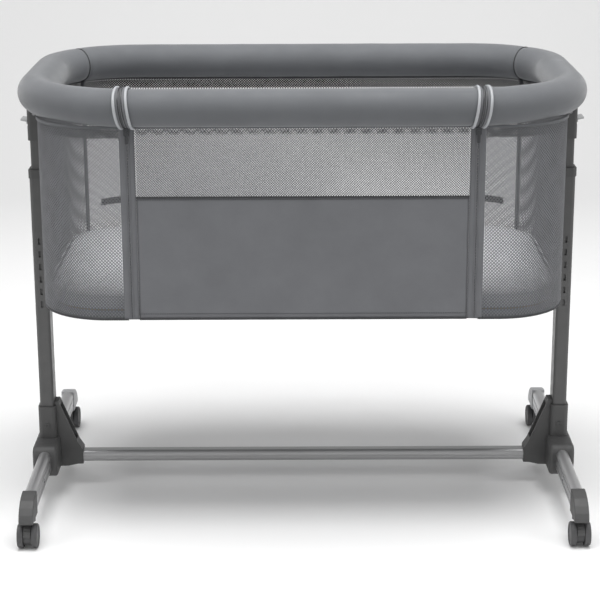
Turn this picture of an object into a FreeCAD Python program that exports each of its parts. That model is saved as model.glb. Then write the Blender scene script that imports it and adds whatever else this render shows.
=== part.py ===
"""Bedside crib on a telescopic stand: a soft basket with a drop side, hung between two height-adjustable
posts on feet with castors. Millimetres. X runs along the crib, -Y is the side that drops, Z is up, and
the origin is on the floor under the middle of the crib."""

import FreeCAD, Part
import math
import os
import re

import Sketcher
from FreeCAD import Placement, Rotation, Vector

DIMS = {
    # stand
    "post_plane": 438, "post_width": 24, "post_depth": 38, "post_corner": 5.5, "post_wall": 1.5,
    "post_bottom": 92, "post_top": 548, "slot_width": 4, "slot_height": 11, "slot_first": 327,
    "slot_pitch": 21.8, "slot_count": 6,
    "foot_width": 20, "foot_height": 40, "foot_corner": 9, "foot_wall": 1.5, "foot_middle": 62,
    "foot_half": 240, "groove_depth": 0.9, "groove_height": 2.4, "button_y": 150,
    "button_radius": 3.4,
    "socket_width": 41, "socket_half": 72, "socket_base": 35, "socket_shoulder": 89,
    "sleeve_width": 30, "sleeve_depth": 46, "sleeve_top": 145, "gusset_half": 13,
    "gusset_reach": 380, "bar_depth": 24, "bar_height": 20, "bar_middle": 51, "bar_half": 396,
    "bar_wall": 1.6, "cap_end": 295, "cap_spigot": 25,
    "collar_bottom": 543, "collar_top": 557, "collar_width": 27, "collar_depth": 41,
    # castors
    "swivel_y": 263, "wheel_y": 275, "wheel_radius": 19.5, "wheel_inner": 6.5, "wheel_outer": 16,
    "axle_radius": 3, "axle_clear": 3.05, "stem_radius": 5, "stem_clear": 5.05, "stem_top": 66,
    # carriages
    "inner_width": 17, "inner_depth": 31, "inner_corner": 4, "inner_wall": 1.3, "inner_bottom": 312,
    "inner_top": 612, "head_width": 23, "head_depth": 37, "head_bottom": 606, "head_deck": 640,
    "cheek_top": 660, "pivot_height": 650, "pivot_radius": 3, "pivot_clear": 3.05, "lever_x": 445,
    "lever_z": 634, "paddle_tip": 460, "rod_radius": 2,
    # basket
    "rim_half_length": 423, "rim_half_depth": 240, "rim_corner": 156, "rim_height": 698,
    "rim_pad_radius": 30, "rim_tube_radius": 9, "rim_wall": 1.5, "pad_bore": 9.4, "rim_end": 266,
    "wall_half_length": 415, "wall_half_depth": 238, "wall_corner": 112, "wall_cloth": 2,
    "wall_bottom": 366, "wall_top": 667, "rear_seam": 384, "zip_middle": 265.5, "zip_half": 11.5,
    "floor_cloth": 1.5, "ring_radius": 5, "ring_half_length": 403, "ring_half_depth": 224,
    "ring_corner": 100, "board_thickness": 9, "mattress_half_length": 408,
    "mattress_half_depth": 229, "mattress_corner": 105, "mattress_thickness": 29,
    "panel_seam": 560, "rail_end": 262,
}

doc = FreeCAD.newDocument("BedsideCrib")
sheet = doc.addObject("Spreadsheet::Sheet", "Dims")
for row, (alias, size) in enumerate(DIMS.items(), start=1):
    sheet.set(f"A{row}", alias)
    sheet.set(f"B{row}", str(size))
    sheet.setAlias(f"B{row}", alias)
doc.recompute()

nodes = []
HELPERS = {"sqrt", "sin", "cos", "min", "max"}


def cells(expression):
    """The expression with each of the sheet's names written the way the document wants it."""
    def name(match):
        word = match.group(0)
        return word if word in HELPERS else f"Dims.{word}"
    return re.sub(r"[a-z][a-z_]+", name, str(expression))


def size(expression):
    """The expression's value now, where a sketch is first drawn."""
    words = re.split(r"([a-z][a-z_]+)", str(expression))
    filled = "".join(str(DIMS.get(word, word)) for word in words)
    return float(FreeCAD.Units.Quantity(filled).Value)


def bind(obj, **bound):
    for path, expression in bound.items():
        obj.setExpression(path.replace("__", "."), cells(expression))
    return obj


def place(obj, x="0", y="0", z="0"):
    return bind(obj, Placement__Base__x=x, Placement__Base__y=y, Placement__Base__z=z)


def mirrored(side, low, high):
    """A span along X, from the middle outwards, put on the left (-1) or the right (1)."""
    return (low, high) if side > 0 else (f"-({high})", f"-({low})")


def signed(side, expression):
    return expression if side > 0 else f"-({expression})"


def box(x, y, z, name="block"):
    made = doc.addObject("Part::Box", name)
    bind(made, Length=f"({x[1]}) - ({x[0]})", Width=f"({y[1]}) - ({y[0]})", Height=f"({z[1]}) - ({z[0]})")
    return place(made, x[0], y[0], z[0])


def cylinder(axis, start, radius, length, name="round"):
    """A cylinder from the point start along X, Y or Z."""
    made = doc.addObject("Part::Cylinder", name)
    towards = {"X": Vector(1, 0, 0), "Y": Vector(0, 1, 0), "Z": Vector(0, 0, 1)}[axis]
    made.Placement = Placement(Vector(), Rotation(Vector(0, 0, 1), towards))
    bind(made, Radius=radius, Height=length)
    return place(made, *start)


def fuse(*shapes):
    made = doc.addObject("Part::MultiFuse", "joined")
    made.Shapes = list(shapes)
    made.Refine = True
    return made


def cut(base, *tools):
    made = doc.addObject("Part::Cut", "cut")
    made.Base = base
    made.Tool = tools[0] if len(tools) == 1 else fuse(*tools)
    made.Refine = True
    return made


def common(*shapes):
    made = doc.addObject("Part::MultiCommon", "shared")
    made.Shapes = list(shapes)
    return made


def node(obj, label):
    """Marks an object as a finished sub-part."""
    obj.Label = label
    nodes.append(obj)
    return obj


def group(label, *shapes):
    """Separate identical pieces kept in one node."""
    made = doc.addObject("Part::Compound", "pieces")
    made.Links = list(shapes)
    return node(made, label)


# ---------------------------------------------------------------- sketches


def new_body():
    return doc.addObject("PartDesign::Body", "Piece")


def new_sketch(body, plane, offset="0"):
    """A sketch on one of the body's own origin planes, moved along the plane's normal."""
    made = body.newObject("Sketcher::SketchObject", "Outline")
    origin_plane = next(f for f in body.Origin.OriginFeatures if f.Role == plane)
    made.AttachmentSupport = [(origin_plane, "")]
    made.MapMode = "FlatFace"
    bind(made, AttachmentOffset__Base__z=offset)
    return made


def line(sketch, start, end):
    return sketch.addGeometry(Part.LineSegment(Vector(*start, 0), Vector(*end, 0)))


def arc(sketch, centre, radius, first, last):
    circle = Part.Circle(Vector(*centre, 0), Vector(0, 0, 1), radius)
    return sketch.addGeometry(Part.ArcOfCircle(circle, math.radians(first), math.radians(last)))


def constrain(sketch, kind, *numbers):
    return sketch.addConstraint(Sketcher.Constraint(kind, *numbers))


def drive(sketch, index, expression):
    sketch.setExpression(f"Constraints[{index}]", cells(expression))


def rounded_outline(sketch, width, depth, corner):
    """A rectangle with round corners about the sketch's origin."""
    half_w, half_d, r = size(width) / 2, size(depth) / 2, size(corner)
    across, along = half_w - r, half_d - r
    sides = []
    sides.append(line(sketch, (-across, -half_d), (across, -half_d)))
    sides.append(arc(sketch, (across, -along), r, 270, 360))
    sides.append(line(sketch, (half_w, -along), (half_w, along)))
    sides.append(arc(sketch, (across, along), r, 0, 90))
    sides.append(line(sketch, (across, half_d), (-across, half_d)))
    sides.append(arc(sketch, (-across, along), r, 90, 180))
    sides.append(line(sketch, (-half_w, along), (-half_w, -along)))
    sides.append(arc(sketch, (-across, -along), r, 180, 270))
    for here, there in zip(sides, sides[1:] + sides[:1]):
        constrain(sketch, "Tangent", here, 2, there, 1)
    for side in (sides[0], sides[4]):
        constrain(sketch, "Horizontal", side)
    for side in (sides[2], sides[6]):
        constrain(sketch, "Vertical", side)
    for other in (sides[3], sides[5], sides[7]):
        constrain(sketch, "Equal", sides[1], other)
    constrain(sketch, "Symmetric", sides[0], 1, sides[4], 1, -1, 1)
    drive(sketch, constrain(sketch, "DistanceX", sides[6], 1, sides[2], 1, 2 * half_w), width)
    drive(sketch, constrain(sketch, "DistanceY", sides[0], 1, sides[4], 1, 2 * half_d), depth)
    drive(sketch, constrain(sketch, "Radius", sides[1], r), corner)


def polygon(sketch, points):
    """A closed outline whose corners sit at bound distances from the sketch's origin."""
    values = [(size(x), size(y)) for x, y in points]
    edges = [line(sketch, a, b) for a, b in zip(values, values[1:] + values[:1])]
    for here, there in zip(edges, edges[1:] + edges[:1]):
        constrain(sketch, "Coincident", here, 2, there, 1)
    for edge, (x, y), (x_now, y_now) in zip(edges, points, values):
        drive(sketch, constrain(sketch, "DistanceX", -1, 1, edge, 1, x_now), x)
        drive(sketch, constrain(sketch, "DistanceY", -1, 1, edge, 1, y_now), y)


def pad(body, sketch, length, both_ways=False):
    made = body.newObject("PartDesign::Pad", "Pad")
    made.Profile = sketch
    if both_ways:
        made.SideType = "Symmetric"
    bind(made, Length=length)
    body.Tip = made
    return made


def pocket(body, sketch, length, both_ways=False, backwards=False):
    made = body.newObject("PartDesign::Pocket", "Pocket")
    made.Profile = sketch
    if both_ways:
        made.SideType = "Symmetric"
    made.Reversed = backwards
    bind(made, Length=length)
    body.Tip = made
    doc.recompute()
    if made.Shape.Volume >= made.BaseFeature.Shape.Volume - 1e-6:
        raise RuntimeError(f"a pocket in {body.Name} cuts nothing")
    return made


def prism(plane, width, depth, corner, length, both_ways=False, hollow=None):
    """A rounded bar or tube: hollow is the tube's wall."""
    body = new_body()
    sketch = new_sketch(body, plane)
    rounded_outline(sketch, width, depth, corner)
    if hollow:
        rounded_outline(sketch, f"{width} - 2 * {hollow}", f"{depth} - 2 * {hollow}", f"{corner} - {hollow}")
    pad(body, sketch, length, both_ways)
    return body


def round_edges(body, radius, wanted):
    """Rounds the edges of the body's last feature that the test picks out."""
    doc.recompute()
    tip = body.Tip
    chosen = [f"Edge{i}" for i, edge in enumerate(tip.Shape.Edges, start=1) if wanted(edge)]
    made = body.newObject("PartDesign::Fillet", "Fillet")
    made.Base = (tip, chosen)
    bind(made, Radius=radius)
    body.Tip = made
    return made


# ---------------------------------------------------------------- stand


def foot_tube(side, label):
    body = prism("XZ_Plane", "foot_width", "foot_height", "foot_corner", "2 * foot_half", True, "foot_wall")
    for height in ("-foot_height / 6", "foot_height / 6"):
        for face in (-1, 1):
            grooves = new_sketch(body, "XZ_Plane")
            inner = signed(face, "(foot_width / 2 - groove_depth)")
            outer = signed(face, "(foot_width / 2 + 1)")
            low = f"{height} - groove_height / 2"
            high = f"{height} + groove_height / 2"
            polygon(grooves, [(inner, low), (outer, low), (outer, high), (inner, high)])
            pocket(body, grooves, "2 * foot_half + 2", both_ways=True)
    place(body, signed(side, "post_plane"), "0", "foot_middle")
    holes = []
    for end in (-1, 1):
        low, high = mirrored(side, "post_plane - foot_width / 2 - 2", "post_plane - foot_width / 2 + 3")
        holes.append(cylinder("X", (low, signed(end, "button_y"), "foot_middle"), "button_radius",
                              f"{high} - ({low})"))
    return node(cut(body, *holes), label)


def crossbar():
    body = prism("YZ_Plane", "bar_depth", "bar_height", "bar_height * 0.35", "2 * bar_half", True, "bar_wall")
    for face in (-1, 1):
        grooves = new_sketch(body, "YZ_Plane")
        inner = signed(face, "(bar_depth / 2 - groove_depth)")
        outer = signed(face, "(bar_depth / 2 + 1)")
        polygon(grooves, [(inner, "-groove_height / 2"), (outer, "-groove_height / 2"),
                          (outer, "groove_height / 2"), (inner, "groove_height / 2")])
        pocket(body, grooves, "2 * bar_half + 2", both_ways=True)
    place(body, "0", "0", "bar_middle")
    return node(body, "crossbar")


def post(side, label):
    body = prism("XY_Plane", "post_width", "post_depth", "post_corner", "post_top - post_bottom",
                 hollow="post_wall")
    slot = new_sketch(body, "XZ_Plane", "post_depth / 2 + 1")
    low = "slot_first - post_bottom - slot_height / 2"
    high = "slot_first - post_bottom + slot_height / 2"
    polygon(slot, [("-slot_width / 2", low), ("slot_width / 2", low),
                   ("slot_width / 2", high), ("-slot_width / 2", high)])
    first = pocket(body, slot, "post_wall + 3")
    slots = body.newObject("PartDesign::LinearPattern", "Slots")
    slots.Originals = [first]
    slots.Direction = (slot, ["V_Axis"])
    bind(slots, Length="slot_pitch * (slot_count - 1)", Occurrences="slot_count")
    body.Tip = slots
    place(body, signed(side, "post_plane"), "0", "post_bottom")
    return node(body, label)


def foot_sleeve(side):
    """The moulding round the foot, with round shoulders front and back."""
    body = prism("YZ_Plane", "2 * socket_half", "socket_shoulder - socket_base", "14", "socket_width", True)
    half = size("socket_width") / 2
    round_edges(body, "5", lambda e: all(abs(abs(v.X) - half) < 1e-3 for v in e.Vertexes))
    return place(body, signed(side, "post_plane"), "0", "(socket_shoulder + socket_base) / 2")


def gusset(side):
    """The triangular bracket between the post and the crossbar, with a channel down its sloping edge."""
    body = new_body()
    outline = new_sketch(body, "XZ_Plane")
    near = signed(side, "(post_plane - 10)")
    far = signed(side, "gusset_reach")
    polygon(outline, [(near, "34"), (signed(side, "(gusset_reach + 26)"), "34.5"),
                      (signed(side, "(gusset_reach + 10)"), "38"), (far, "38.5"), (far, "64"),
                      (signed(side, "(gusset_reach + 8)"), "76"), (signed(side, "(post_plane - 19)"), "152"),
                      (near, "152")])
    pad(body, outline, "2 * gusset_half", True)
    channel = new_sketch(body, "XZ_Plane")
    corners = (("6.6", "83"), ("15.9", "79.3"), ("41.6", "142.3"), ("32.3", "146"))
    polygon(channel, [(signed(side, f"(gusset_reach + {x})"), z) for x, z in corners])
    pocket(body, channel, "2 * gusset_half - 6", True)
    return body


def socket(side, label):
    sleeve = prism("XY_Plane", "sleeve_width", "sleeve_depth", "7.5", "sleeve_top - 60")
    place(sleeve, signed(side, "post_plane"), "0", "60")
    post_room = prism("XY_Plane", "post_width", "post_depth", "post_corner", "100")
    place(post_room, signed(side, "post_plane"), "0", "post_bottom")
    foot_room = prism("XZ_Plane", "foot_width", "foot_height", "foot_corner", "400", True)
    place(foot_room, signed(side, "post_plane"), "0", "foot_middle")
    bar_room = prism("YZ_Plane", "bar_depth", "bar_height", "bar_height * 0.35", "2 * bar_half", True)
    place(bar_room, "0", "0", "bar_middle")
    casting = fuse(foot_sleeve(side), sleeve, gusset(side))
    return node(cut(casting, post_room, foot_room, bar_room), label)


def foot_cap(side, end, label):
    """Closes the foot, falls away to the front and carries the castor's stem."""
    body = new_body()
    outline = new_sketch(body, "YZ_Plane")

    def along(expression):
        return signed(end, expression)

    polygon(outline, [(along("foot_half"), "foot_middle - 19"), (along("(foot_half + 4)"), "44"),
                      (along("(cap_end - 3)"), "44"), (along("cap_end"), "47"), (along("cap_end"), "52"),
                      (along("(cap_end - 4)"), "60"), (along("(cap_end - 12)"), "69"),
                      (along("(cap_end - 25)"), "77"), (along("(cap_end - 40)"), "81"),
                      (along("foot_half"), "foot_middle + 20.5")])
    pad(body, outline, "foot_width + 3", True)
    half = (size("foot_width") + 3) / 2
    round_edges(body, "2", lambda e: all(abs(abs(v.X) - half) < 1e-3 for v in e.Vertexes))
    place(body, signed(side, "post_plane"), "0", "0")
    spigot = prism("XZ_Plane", "foot_width - 2 * foot_wall - 0.2", "foot_height - 2 * foot_wall - 0.2",
                   "foot_corner - foot_wall - 0.1", "cap_spigot")
    start = "foot_half + 2" if end > 0 else "-foot_half - 2 + cap_spigot"
    place(spigot, signed(side, "post_plane"), start, "foot_middle")
    stem_room = cylinder("Z", (signed(side, "post_plane"), along("swivel_y"), "40"), "stem_clear",
                         "stem_top + 0.3 - 40")
    return node(cut(fuse(body, spigot), stem_room), label)


def collar(side, label):
    body = prism("XY_Plane", "collar_width", "collar_depth", "post_corner + 1.5", "collar_top - collar_bottom")
    place(body, signed(side, "post_plane"), "0", "collar_bottom")
    over_post = prism("XY_Plane", "post_width", "post_depth", "post_corner", "post_top - collar_bottom")
    place(over_post, signed(side, "post_plane"), "0", "collar_bottom")
    mouth = prism("XY_Plane", "inner_width + 3", "inner_depth + 0.8", "inner_corner + 0.4", "40")
    place(mouth, signed(side, "post_plane"), "0", "collar_bottom")
    return node(cut(body, over_post, mouth), label)


def socket_screws():
    """A pan-head screw on the front and the back of each socket."""
    screws = []
    for side in (-1, 1):
        for face in (-1, 1):
            x = signed(side, "post_plane")
            near = "sleeve_depth / 2" if face > 0 else "-sleeve_depth / 2 - 1.8"
            drive_end = "sleeve_depth / 2 + 0.8" if face > 0 else "-sleeve_depth / 2 - 2.8"
            pan = cylinder("Y", (x, near, "112"), "4.4", "1.8")
            screws.append(cut(pan, cylinder("Y", (x, drive_end, "112"), "1.9", "2")))
    return group("socket_screws", *screws)


def snap_buttons():
    """The sprung buttons that hold each foot in its socket, showing through the inner side of the tube."""
    buttons = []
    for side in (-1, 1):
        for end in (-1, 1):
            start = "post_plane - foot_width / 2 - 1.4" if side > 0 else "-post_plane + foot_width / 2 - 1.2"
            buttons.append(cylinder("X", (start, signed(end, "button_y"), "foot_middle"), "button_radius",
                                    "2.6"))
    return group("foot_snap_buttons", *buttons)


# ---------------------------------------------------------------- castors


def castor(side, end, label, braked):
    """A twin-wheel castor that trails outwards at rest."""
    x, stem_y, axle_y = signed(side, "post_plane"), signed(end, "swivel_y"), signed(end, "wheel_y")
    hub = cylinder("X", (f"{x} - wheel_inner + 0.5", axle_y, "wheel_radius"), "14.5", "2 * wheel_inner - 1")
    low, high = ("swivel_y - 9", "wheel_y + 4") if end > 0 else ("-wheel_y - 4", "-swivel_y + 9")
    neck = box((f"{x} - wheel_inner + 0.5", f"{x} + wheel_inner - 0.5"), (low, high), ("wheel_radius", "41"))
    crown = cylinder("Z", (x, stem_y, "40.2"), "11", "3.3")
    stem = cylinder("Z", (x, stem_y, "36"), "stem_radius", "stem_top - 36")
    axle_room = cylinder("X", (f"{x} - 20", axle_y, "wheel_radius"), "axle_clear", "40")
    housing = fuse(hub, neck, crown, stem)
    if braked:
        pedal_room = cylinder("X", (f"{x} - 20", axle_y, "wheel_radius"), "wheel_radius + 1.2", "40")
        keep = cylinder("X", (f"{x} - 20", axle_y, "wheel_radius"), "14.5", "40")
        ahead = ("wheel_y - 2", "wheel_y + 30") if end > 0 else ("-wheel_y - 30", "-wheel_y + 2")
        room = box((f"{x} - 20", f"{x} + 20"), ahead, ("0", "wheel_radius + 19.3"))
        housing = cut(housing, common(cut(pedal_room, keep), room))
    node(cut(housing, axle_room), f"{label}_castor_housing")

    wheels = new_body()
    profile = new_sketch(wheels, "XY_Plane")
    inner, outer, rim = "wheel_inner", "wheel_outer", "wheel_radius"
    polygon(profile, [(f"-{outer} + 1.2", "0"), (f"-{outer} + 1.2", f"{rim} - 5"), (f"-{outer}", f"{rim} - 4"),
                      (f"-{outer}", f"{rim} - 1.5"), (f"-{outer} + 1.5", rim), (f"-{inner} - 1", rim),
                      (f"-{inner}", f"{rim} - 1"), (f"-{inner}", "axle_radius"), (inner, "axle_radius"),
                      (inner, f"{rim} - 1"), (f"{inner} + 1", rim), (f"{outer} - 1.5", rim),
                      (outer, f"{rim} - 1.5"), (outer, f"{rim} - 4"), (f"{outer} - 1.2", f"{rim} - 5"),
                      (f"{outer} - 1.2", "0")])
    turned = wheels.newObject("PartDesign::Revolution", "Turned")
    turned.Profile = profile
    turned.ReferenceAxis = (profile, ["H_Axis"])
    turned.Angle = 360
    wheels.Tip = turned
    place(wheels, x, axle_y, "wheel_radius")
    node(wheels, f"{label}_castor_wheels")

    if braked:
        shell = cylinder("X", (f"{x} - wheel_inner + 0.7", axle_y, "wheel_radius"), "wheel_radius - 0.3",
                         "2 * wheel_inner - 1.4")
        bore = cylinder("X", (f"{x} - 20", axle_y, "wheel_radius"), "15", "40")
        ahead = ("wheel_y + 3", "wheel_y + 30") if end > 0 else ("-wheel_y - 30", "-wheel_y - 3")
        sector = box((f"{x} - 20", f"{x} + 20"), ahead, ("wheel_radius + 4", "wheel_radius + 30"))
        grips = []
        for turn in (25, 40, 55):
            reach_y, reach_z = math.cos(math.radians(turn)), math.sin(math.radians(turn))
            rib_y = f"wheel_y + (wheel_radius - 0.6) * {reach_y:.4f}"
            grips.append(cylinder("X", (f"{x} - wheel_inner + 1.5", signed(end, f"({rib_y})"),
                                        f"wheel_radius + (wheel_radius - 0.6) * {reach_z:.4f}"), "0.9",
                                  "2 * wheel_inner - 3"))
        node(fuse(common(cut(shell, bore), sector), *grips), f"{label}_brake_pedal")


# ---------------------------------------------------------------- carriages


def inner_tube(side, label):
    body = prism("XY_Plane", "inner_width", "inner_depth", "inner_corner", "inner_top - inner_bottom",
                 hollow="inner_wall")
    place(body, signed(side, "post_plane"), "0", "inner_bottom")
    x = signed(side, "post_plane")
    window = box((f"{x} - slot_width / 2 - 0.2", f"{x} + slot_width / 2 + 0.2"),
                 ("-inner_depth / 2 - 1", "-inner_depth / 2 + inner_wall + 1"),
                 ("slot_first - slot_height / 2 - 0.2", "slot_first + slot_height / 2 + 0.2"))
    return node(cut(body, window), label)


def head(side, label):
    """Closes the inner tube, holds the lever and takes the basket's bracket between two cheeks."""
    x = signed(side, "post_plane")
    shell = prism("XY_Plane", "head_width", "head_depth", "inner_corner + 1.5", "cheek_top - head_bottom")
    place(shell, x, "0", "head_bottom")
    tube_room = prism("XY_Plane", "inner_width", "inner_depth", "inner_corner", "inner_top - head_bottom")
    place(tube_room, x, "0", "head_bottom")
    lever_room = box((f"{x} - 8.5", f"{x} + 8.5"), ("-13", "13"), ("inner_top", "head_deck - 2"))
    outer = mirrored(side, "post_plane + 7", "post_plane + 20")
    window = box(outer, ("-13", "13"), ("lever_z - 5", "head_deck - 0.2"))
    paddle_room = box(mirrored(side, "post_plane + 10", "post_plane + 20"), ("-15.8", "15.8"),
                      ("lever_z - 5", "head_deck + 2"))
    bracket_room = box((f"{x} - 20", f"{x} + 20"), ("-9.4", "9.4"), ("head_deck", "cheek_top + 1"))
    pivot_room = cylinder("Y", (x, "-30", "pivot_height"), "pivot_clear", "60")
    lever_pin_room = cylinder("Y", (signed(side, "lever_x"), "-15.5", "lever_z"), "2.05", "31")
    spigot = prism("XY_Plane", "inner_width - 2 * inner_wall - 0.2", "inner_depth - 2 * inner_wall - 0.2",
                   "inner_corner - inner_wall", "16")
    place(spigot, x, "0", "inner_top - 16")
    rod_room = cylinder("Z", (x, "0", "inner_top - 20"), "rod_radius + 0.3", "24")
    hollow = cut(shell, tube_room, lever_room, window, paddle_room, bracket_room, pivot_room, lever_pin_room)
    return node(cut(fuse(hollow, spigot), rod_room), label)


def lever(side, label):
    """The release paddle outside the head, with its arm over the pull rod and its own cross pin."""
    arm = box(mirrored(side, "post_plane - 2", "lever_x + 6"), ("-6", "6"), ("lever_z - 1.5", "lever_z + 1.5"))
    pin = cylinder("Y", (signed(side, "lever_x"), "-15.2", "lever_z"), "2", "30.4")
    web = box(mirrored(side, "lever_x + 3", "lever_x + 6"), ("-12", "12"), ("lever_z - 1.5", "lever_z + 4.6"))
    paddle = new_body()
    outline = new_sketch(paddle, "XZ_Plane")
    root = signed(side, "(lever_x + 5.2)")
    tip = signed(side, "paddle_tip")
    polygon(outline, [(root, "lever_z + 2.6"), (tip, "lever_z + 4.6"), (tip, "lever_z + 7.4"),
                      (root, "lever_z + 5.4")])
    pad(paddle, outline, "30", True)
    return node(fuse(arm, pin, web, paddle), label)


def pull_rod(side, label):
    """A round rod with a button head above and a wedge blade below, which draws the latch pin in."""
    x = signed(side, "post_plane")
    button = cylinder("Z", (x, "0", "lever_z - 4.8"), "5", "3")
    rod = cylinder("Z", (x, "0", "345"), "rod_radius", "lever_z - 4 - 345")
    body = new_body()
    outline = new_sketch(body, "YZ_Plane")
    polygon(outline, [("-2.5", "325.2"), ("4", "329.15"), ("4", "349"), ("-2.5", "349")])
    pad(body, outline, "2", True)
    place(body, x, "0", "0")
    return node(fuse(button, rod, body), label)


def latch_pin(side, label):
    """The flat pin behind the post's slots, with the ramp that the wedge blade runs on."""
    body = new_body()
    outline = new_sketch(body, "YZ_Plane")
    nose = "-post_depth / 2 + post_wall + 0.3"
    polygon(outline, [(nose, "321.7"), ("10.6", "321.7"), ("10.6", "332.3"), ("-4.8", "322.9"),
                      ("-7", "322.9"), ("-7", "332.3"), (nose, "332.3")])
    pad(body, outline, "slot_width - 0.4", True)
    return node(place(body, signed(side, "post_plane"), "0", "0"), label)


def pin_guide(side, label):
    x = signed(side, "post_plane")
    block = prism("XY_Plane", "inner_width - 2 * inner_wall - 0.2", "inner_depth - 2 * inner_wall - 0.2",
                  "inner_corner - inner_wall", "30")
    place(block, x, "0", "inner_bottom + 1")
    tunnel = box((f"{x} - 2", f"{x} + 2"), ("-20", "20"), ("321.4", "332.6"))
    blade_room = box((f"{x} - 1.3", f"{x} + 1.3"), ("-2.9", "4.4"), ("330", "350"))
    rod_room = cylinder("Z", (x, "0", "341"), "rod_radius + 0.3", "10")
    return node(cut(block, tunnel, blade_room, rod_room), label)


def return_spring(side, label):
    """The coil that pushes the rod's button back up."""
    wire, coil, low, high, turns = 0.5, 3.8, size("inner_top") + 0.5, size("lever_z") - 5.35, 5
    pitch = (high - low) / turns
    helix = Part.makeHelix(pitch, high - low, coil)
    section = Part.Wire(Part.Circle(Vector(coil, 0, 0), Vector(0, 1, 0), wire).toShape())
    made = doc.addObject("Part::Feature", "coil")
    made.Shape = Part.Wire(helix.Edges).makePipeShell([section], True, True)
    made.Placement = Placement(Vector(side * size("post_plane"), 0, low), Rotation())
    return node(made, label)


# ---------------------------------------------------------------- basket


def hoop_path(body, half_length, half_depth, corner, height, gap=None):
    """A level rounded rectangle as a path, whole or open along the front between two ends."""
    sketch = new_sketch(body, "XY_Plane", height)
    x, y, r = size(half_length), size(half_depth), size(corner)
    front = size(gap) if gap else 0
    edges = []
    edges.append(line(sketch, (front, -y), (x - r, -y)))
    edges.append(arc(sketch, (x - r, -y + r), r, 270, 360))
    edges.append(line(sketch, (x, -y + r), (x, y - r)))
    edges.append(arc(sketch, (x - r, y - r), r, 0, 90))
    edges.append(line(sketch, (x - r, y), (-x + r, y)))
    edges.append(arc(sketch, (-x + r, y - r), r, 90, 180))
    edges.append(line(sketch, (-x, y - r), (-x, -y + r)))
    edges.append(arc(sketch, (-x + r, -y + r), r, 180, 270))
    edges.append(line(sketch, (-x + r, -y), (-front, -y)))
    for here, there in zip(edges, edges[1:]):
        constrain(sketch, "Tangent", here, 2, there, 1)
    for edge in (edges[0], edges[4], edges[8]):
        constrain(sketch, "Horizontal", edge)
    for edge in (edges[2], edges[6]):
        constrain(sketch, "Vertical", edge)
    for other in (edges[3], edges[5], edges[7]):
        constrain(sketch, "Equal", edges[1], other)
    constrain(sketch, "Symmetric", edges[2], 1, edges[6], 1, -1, 1)
    drive(sketch, constrain(sketch, "DistanceX", -1, 1, edges[2], 1, x), half_length)
    drive(sketch, constrain(sketch, "DistanceY", edges[0], 1, -1, 1, y), half_depth)
    drive(sketch, constrain(sketch, "Radius", edges[1], r), corner)
    if gap:
        drive(sketch, constrain(sketch, "DistanceX", -1, 1, edges[0], 1, front), gap)
        drive(sketch, constrain(sketch, "DistanceX", edges[8], 2, -1, 1, front), gap)
    else:
        constrain(sketch, "DistanceX", -1, 1, edges[0], 1, 0)
        constrain(sketch, "Coincident", edges[8], 2, edges[0], 1)
    return sketch, [f"Edge{i}" for i in range(1, len(edges) + 1)]


def hoop(half_length, half_depth, corner, height, radius, bore=None, gap=None):
    """A bent tube: a ring section carried along the path."""
    body = new_body()
    path, edges = hoop_path(body, half_length, half_depth, corner, height, gap)
    section = new_sketch(body, "YZ_Plane", gap or "0")
    for wall in (radius, bore):
        if wall:
            middle = Vector(-size(half_depth), size(height), 0)
            circle = section.addGeometry(Part.Circle(middle, Vector(0, 0, 1), size(wall)))
            drive(section, constrain(section, "Radius", circle, size(wall)), wall)
            drive(section, constrain(section, "DistanceX", circle, 3, -1, 1, size(half_depth)), half_depth)
            drive(section, constrain(section, "DistanceY", -1, 1, circle, 3, size(height)), height)
    doc.recompute()
    pipe = body.newObject("PartDesign::AdditivePipe", "Bend")
    pipe.Profile = section
    pipe.Spine = (path, edges)
    body.Tip = pipe
    return body


def clamp_room(side):
    """The hollow in the padding round a rim bracket, open below."""
    return box(mirrored(side, "rim_half_length - 13.5", "post_plane + 9.5"), ("-17", "17"),
               ("rim_height - rim_pad_radius - 2", "rim_height + 13"))


def rim():
    tube = hoop("rim_half_length", "rim_half_depth", "rim_corner", "rim_height", "rim_tube_radius",
                "rim_tube_radius - rim_wall", "rim_end")
    node(tube, "rim_tube")
    padding = hoop("rim_half_length", "rim_half_depth", "rim_corner", "rim_height", "rim_pad_radius",
                   "pad_bore", "rim_end + 0.3")
    node(cut(padding, clamp_room(-1), clamp_room(1)), "rim_padding")


def rim_bracket(side, label):
    """A clamp round the rim tube with a tongue and cross pin that hang in the head."""
    tube_x, head_x = signed(side, "rim_half_length"), signed(side, "post_plane")
    clamp = cylinder("Y", (tube_x, "-15", "rim_height"), "rim_tube_radius + 3", "30")
    tube_room = cylinder("Y", (tube_x, "-20", "rim_height"), "rim_tube_radius", "40")
    tongue = box((f"{head_x} - 8", f"{head_x} + 8"), ("-9", "9"), ("head_deck + 1.5", "rim_height - 6"))
    pin = cylinder("Y", (head_x, "-17", "pivot_height"), "pivot_radius", "34")
    return node(cut(fuse(clamp, tongue, pin), tube_room), label)


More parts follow.
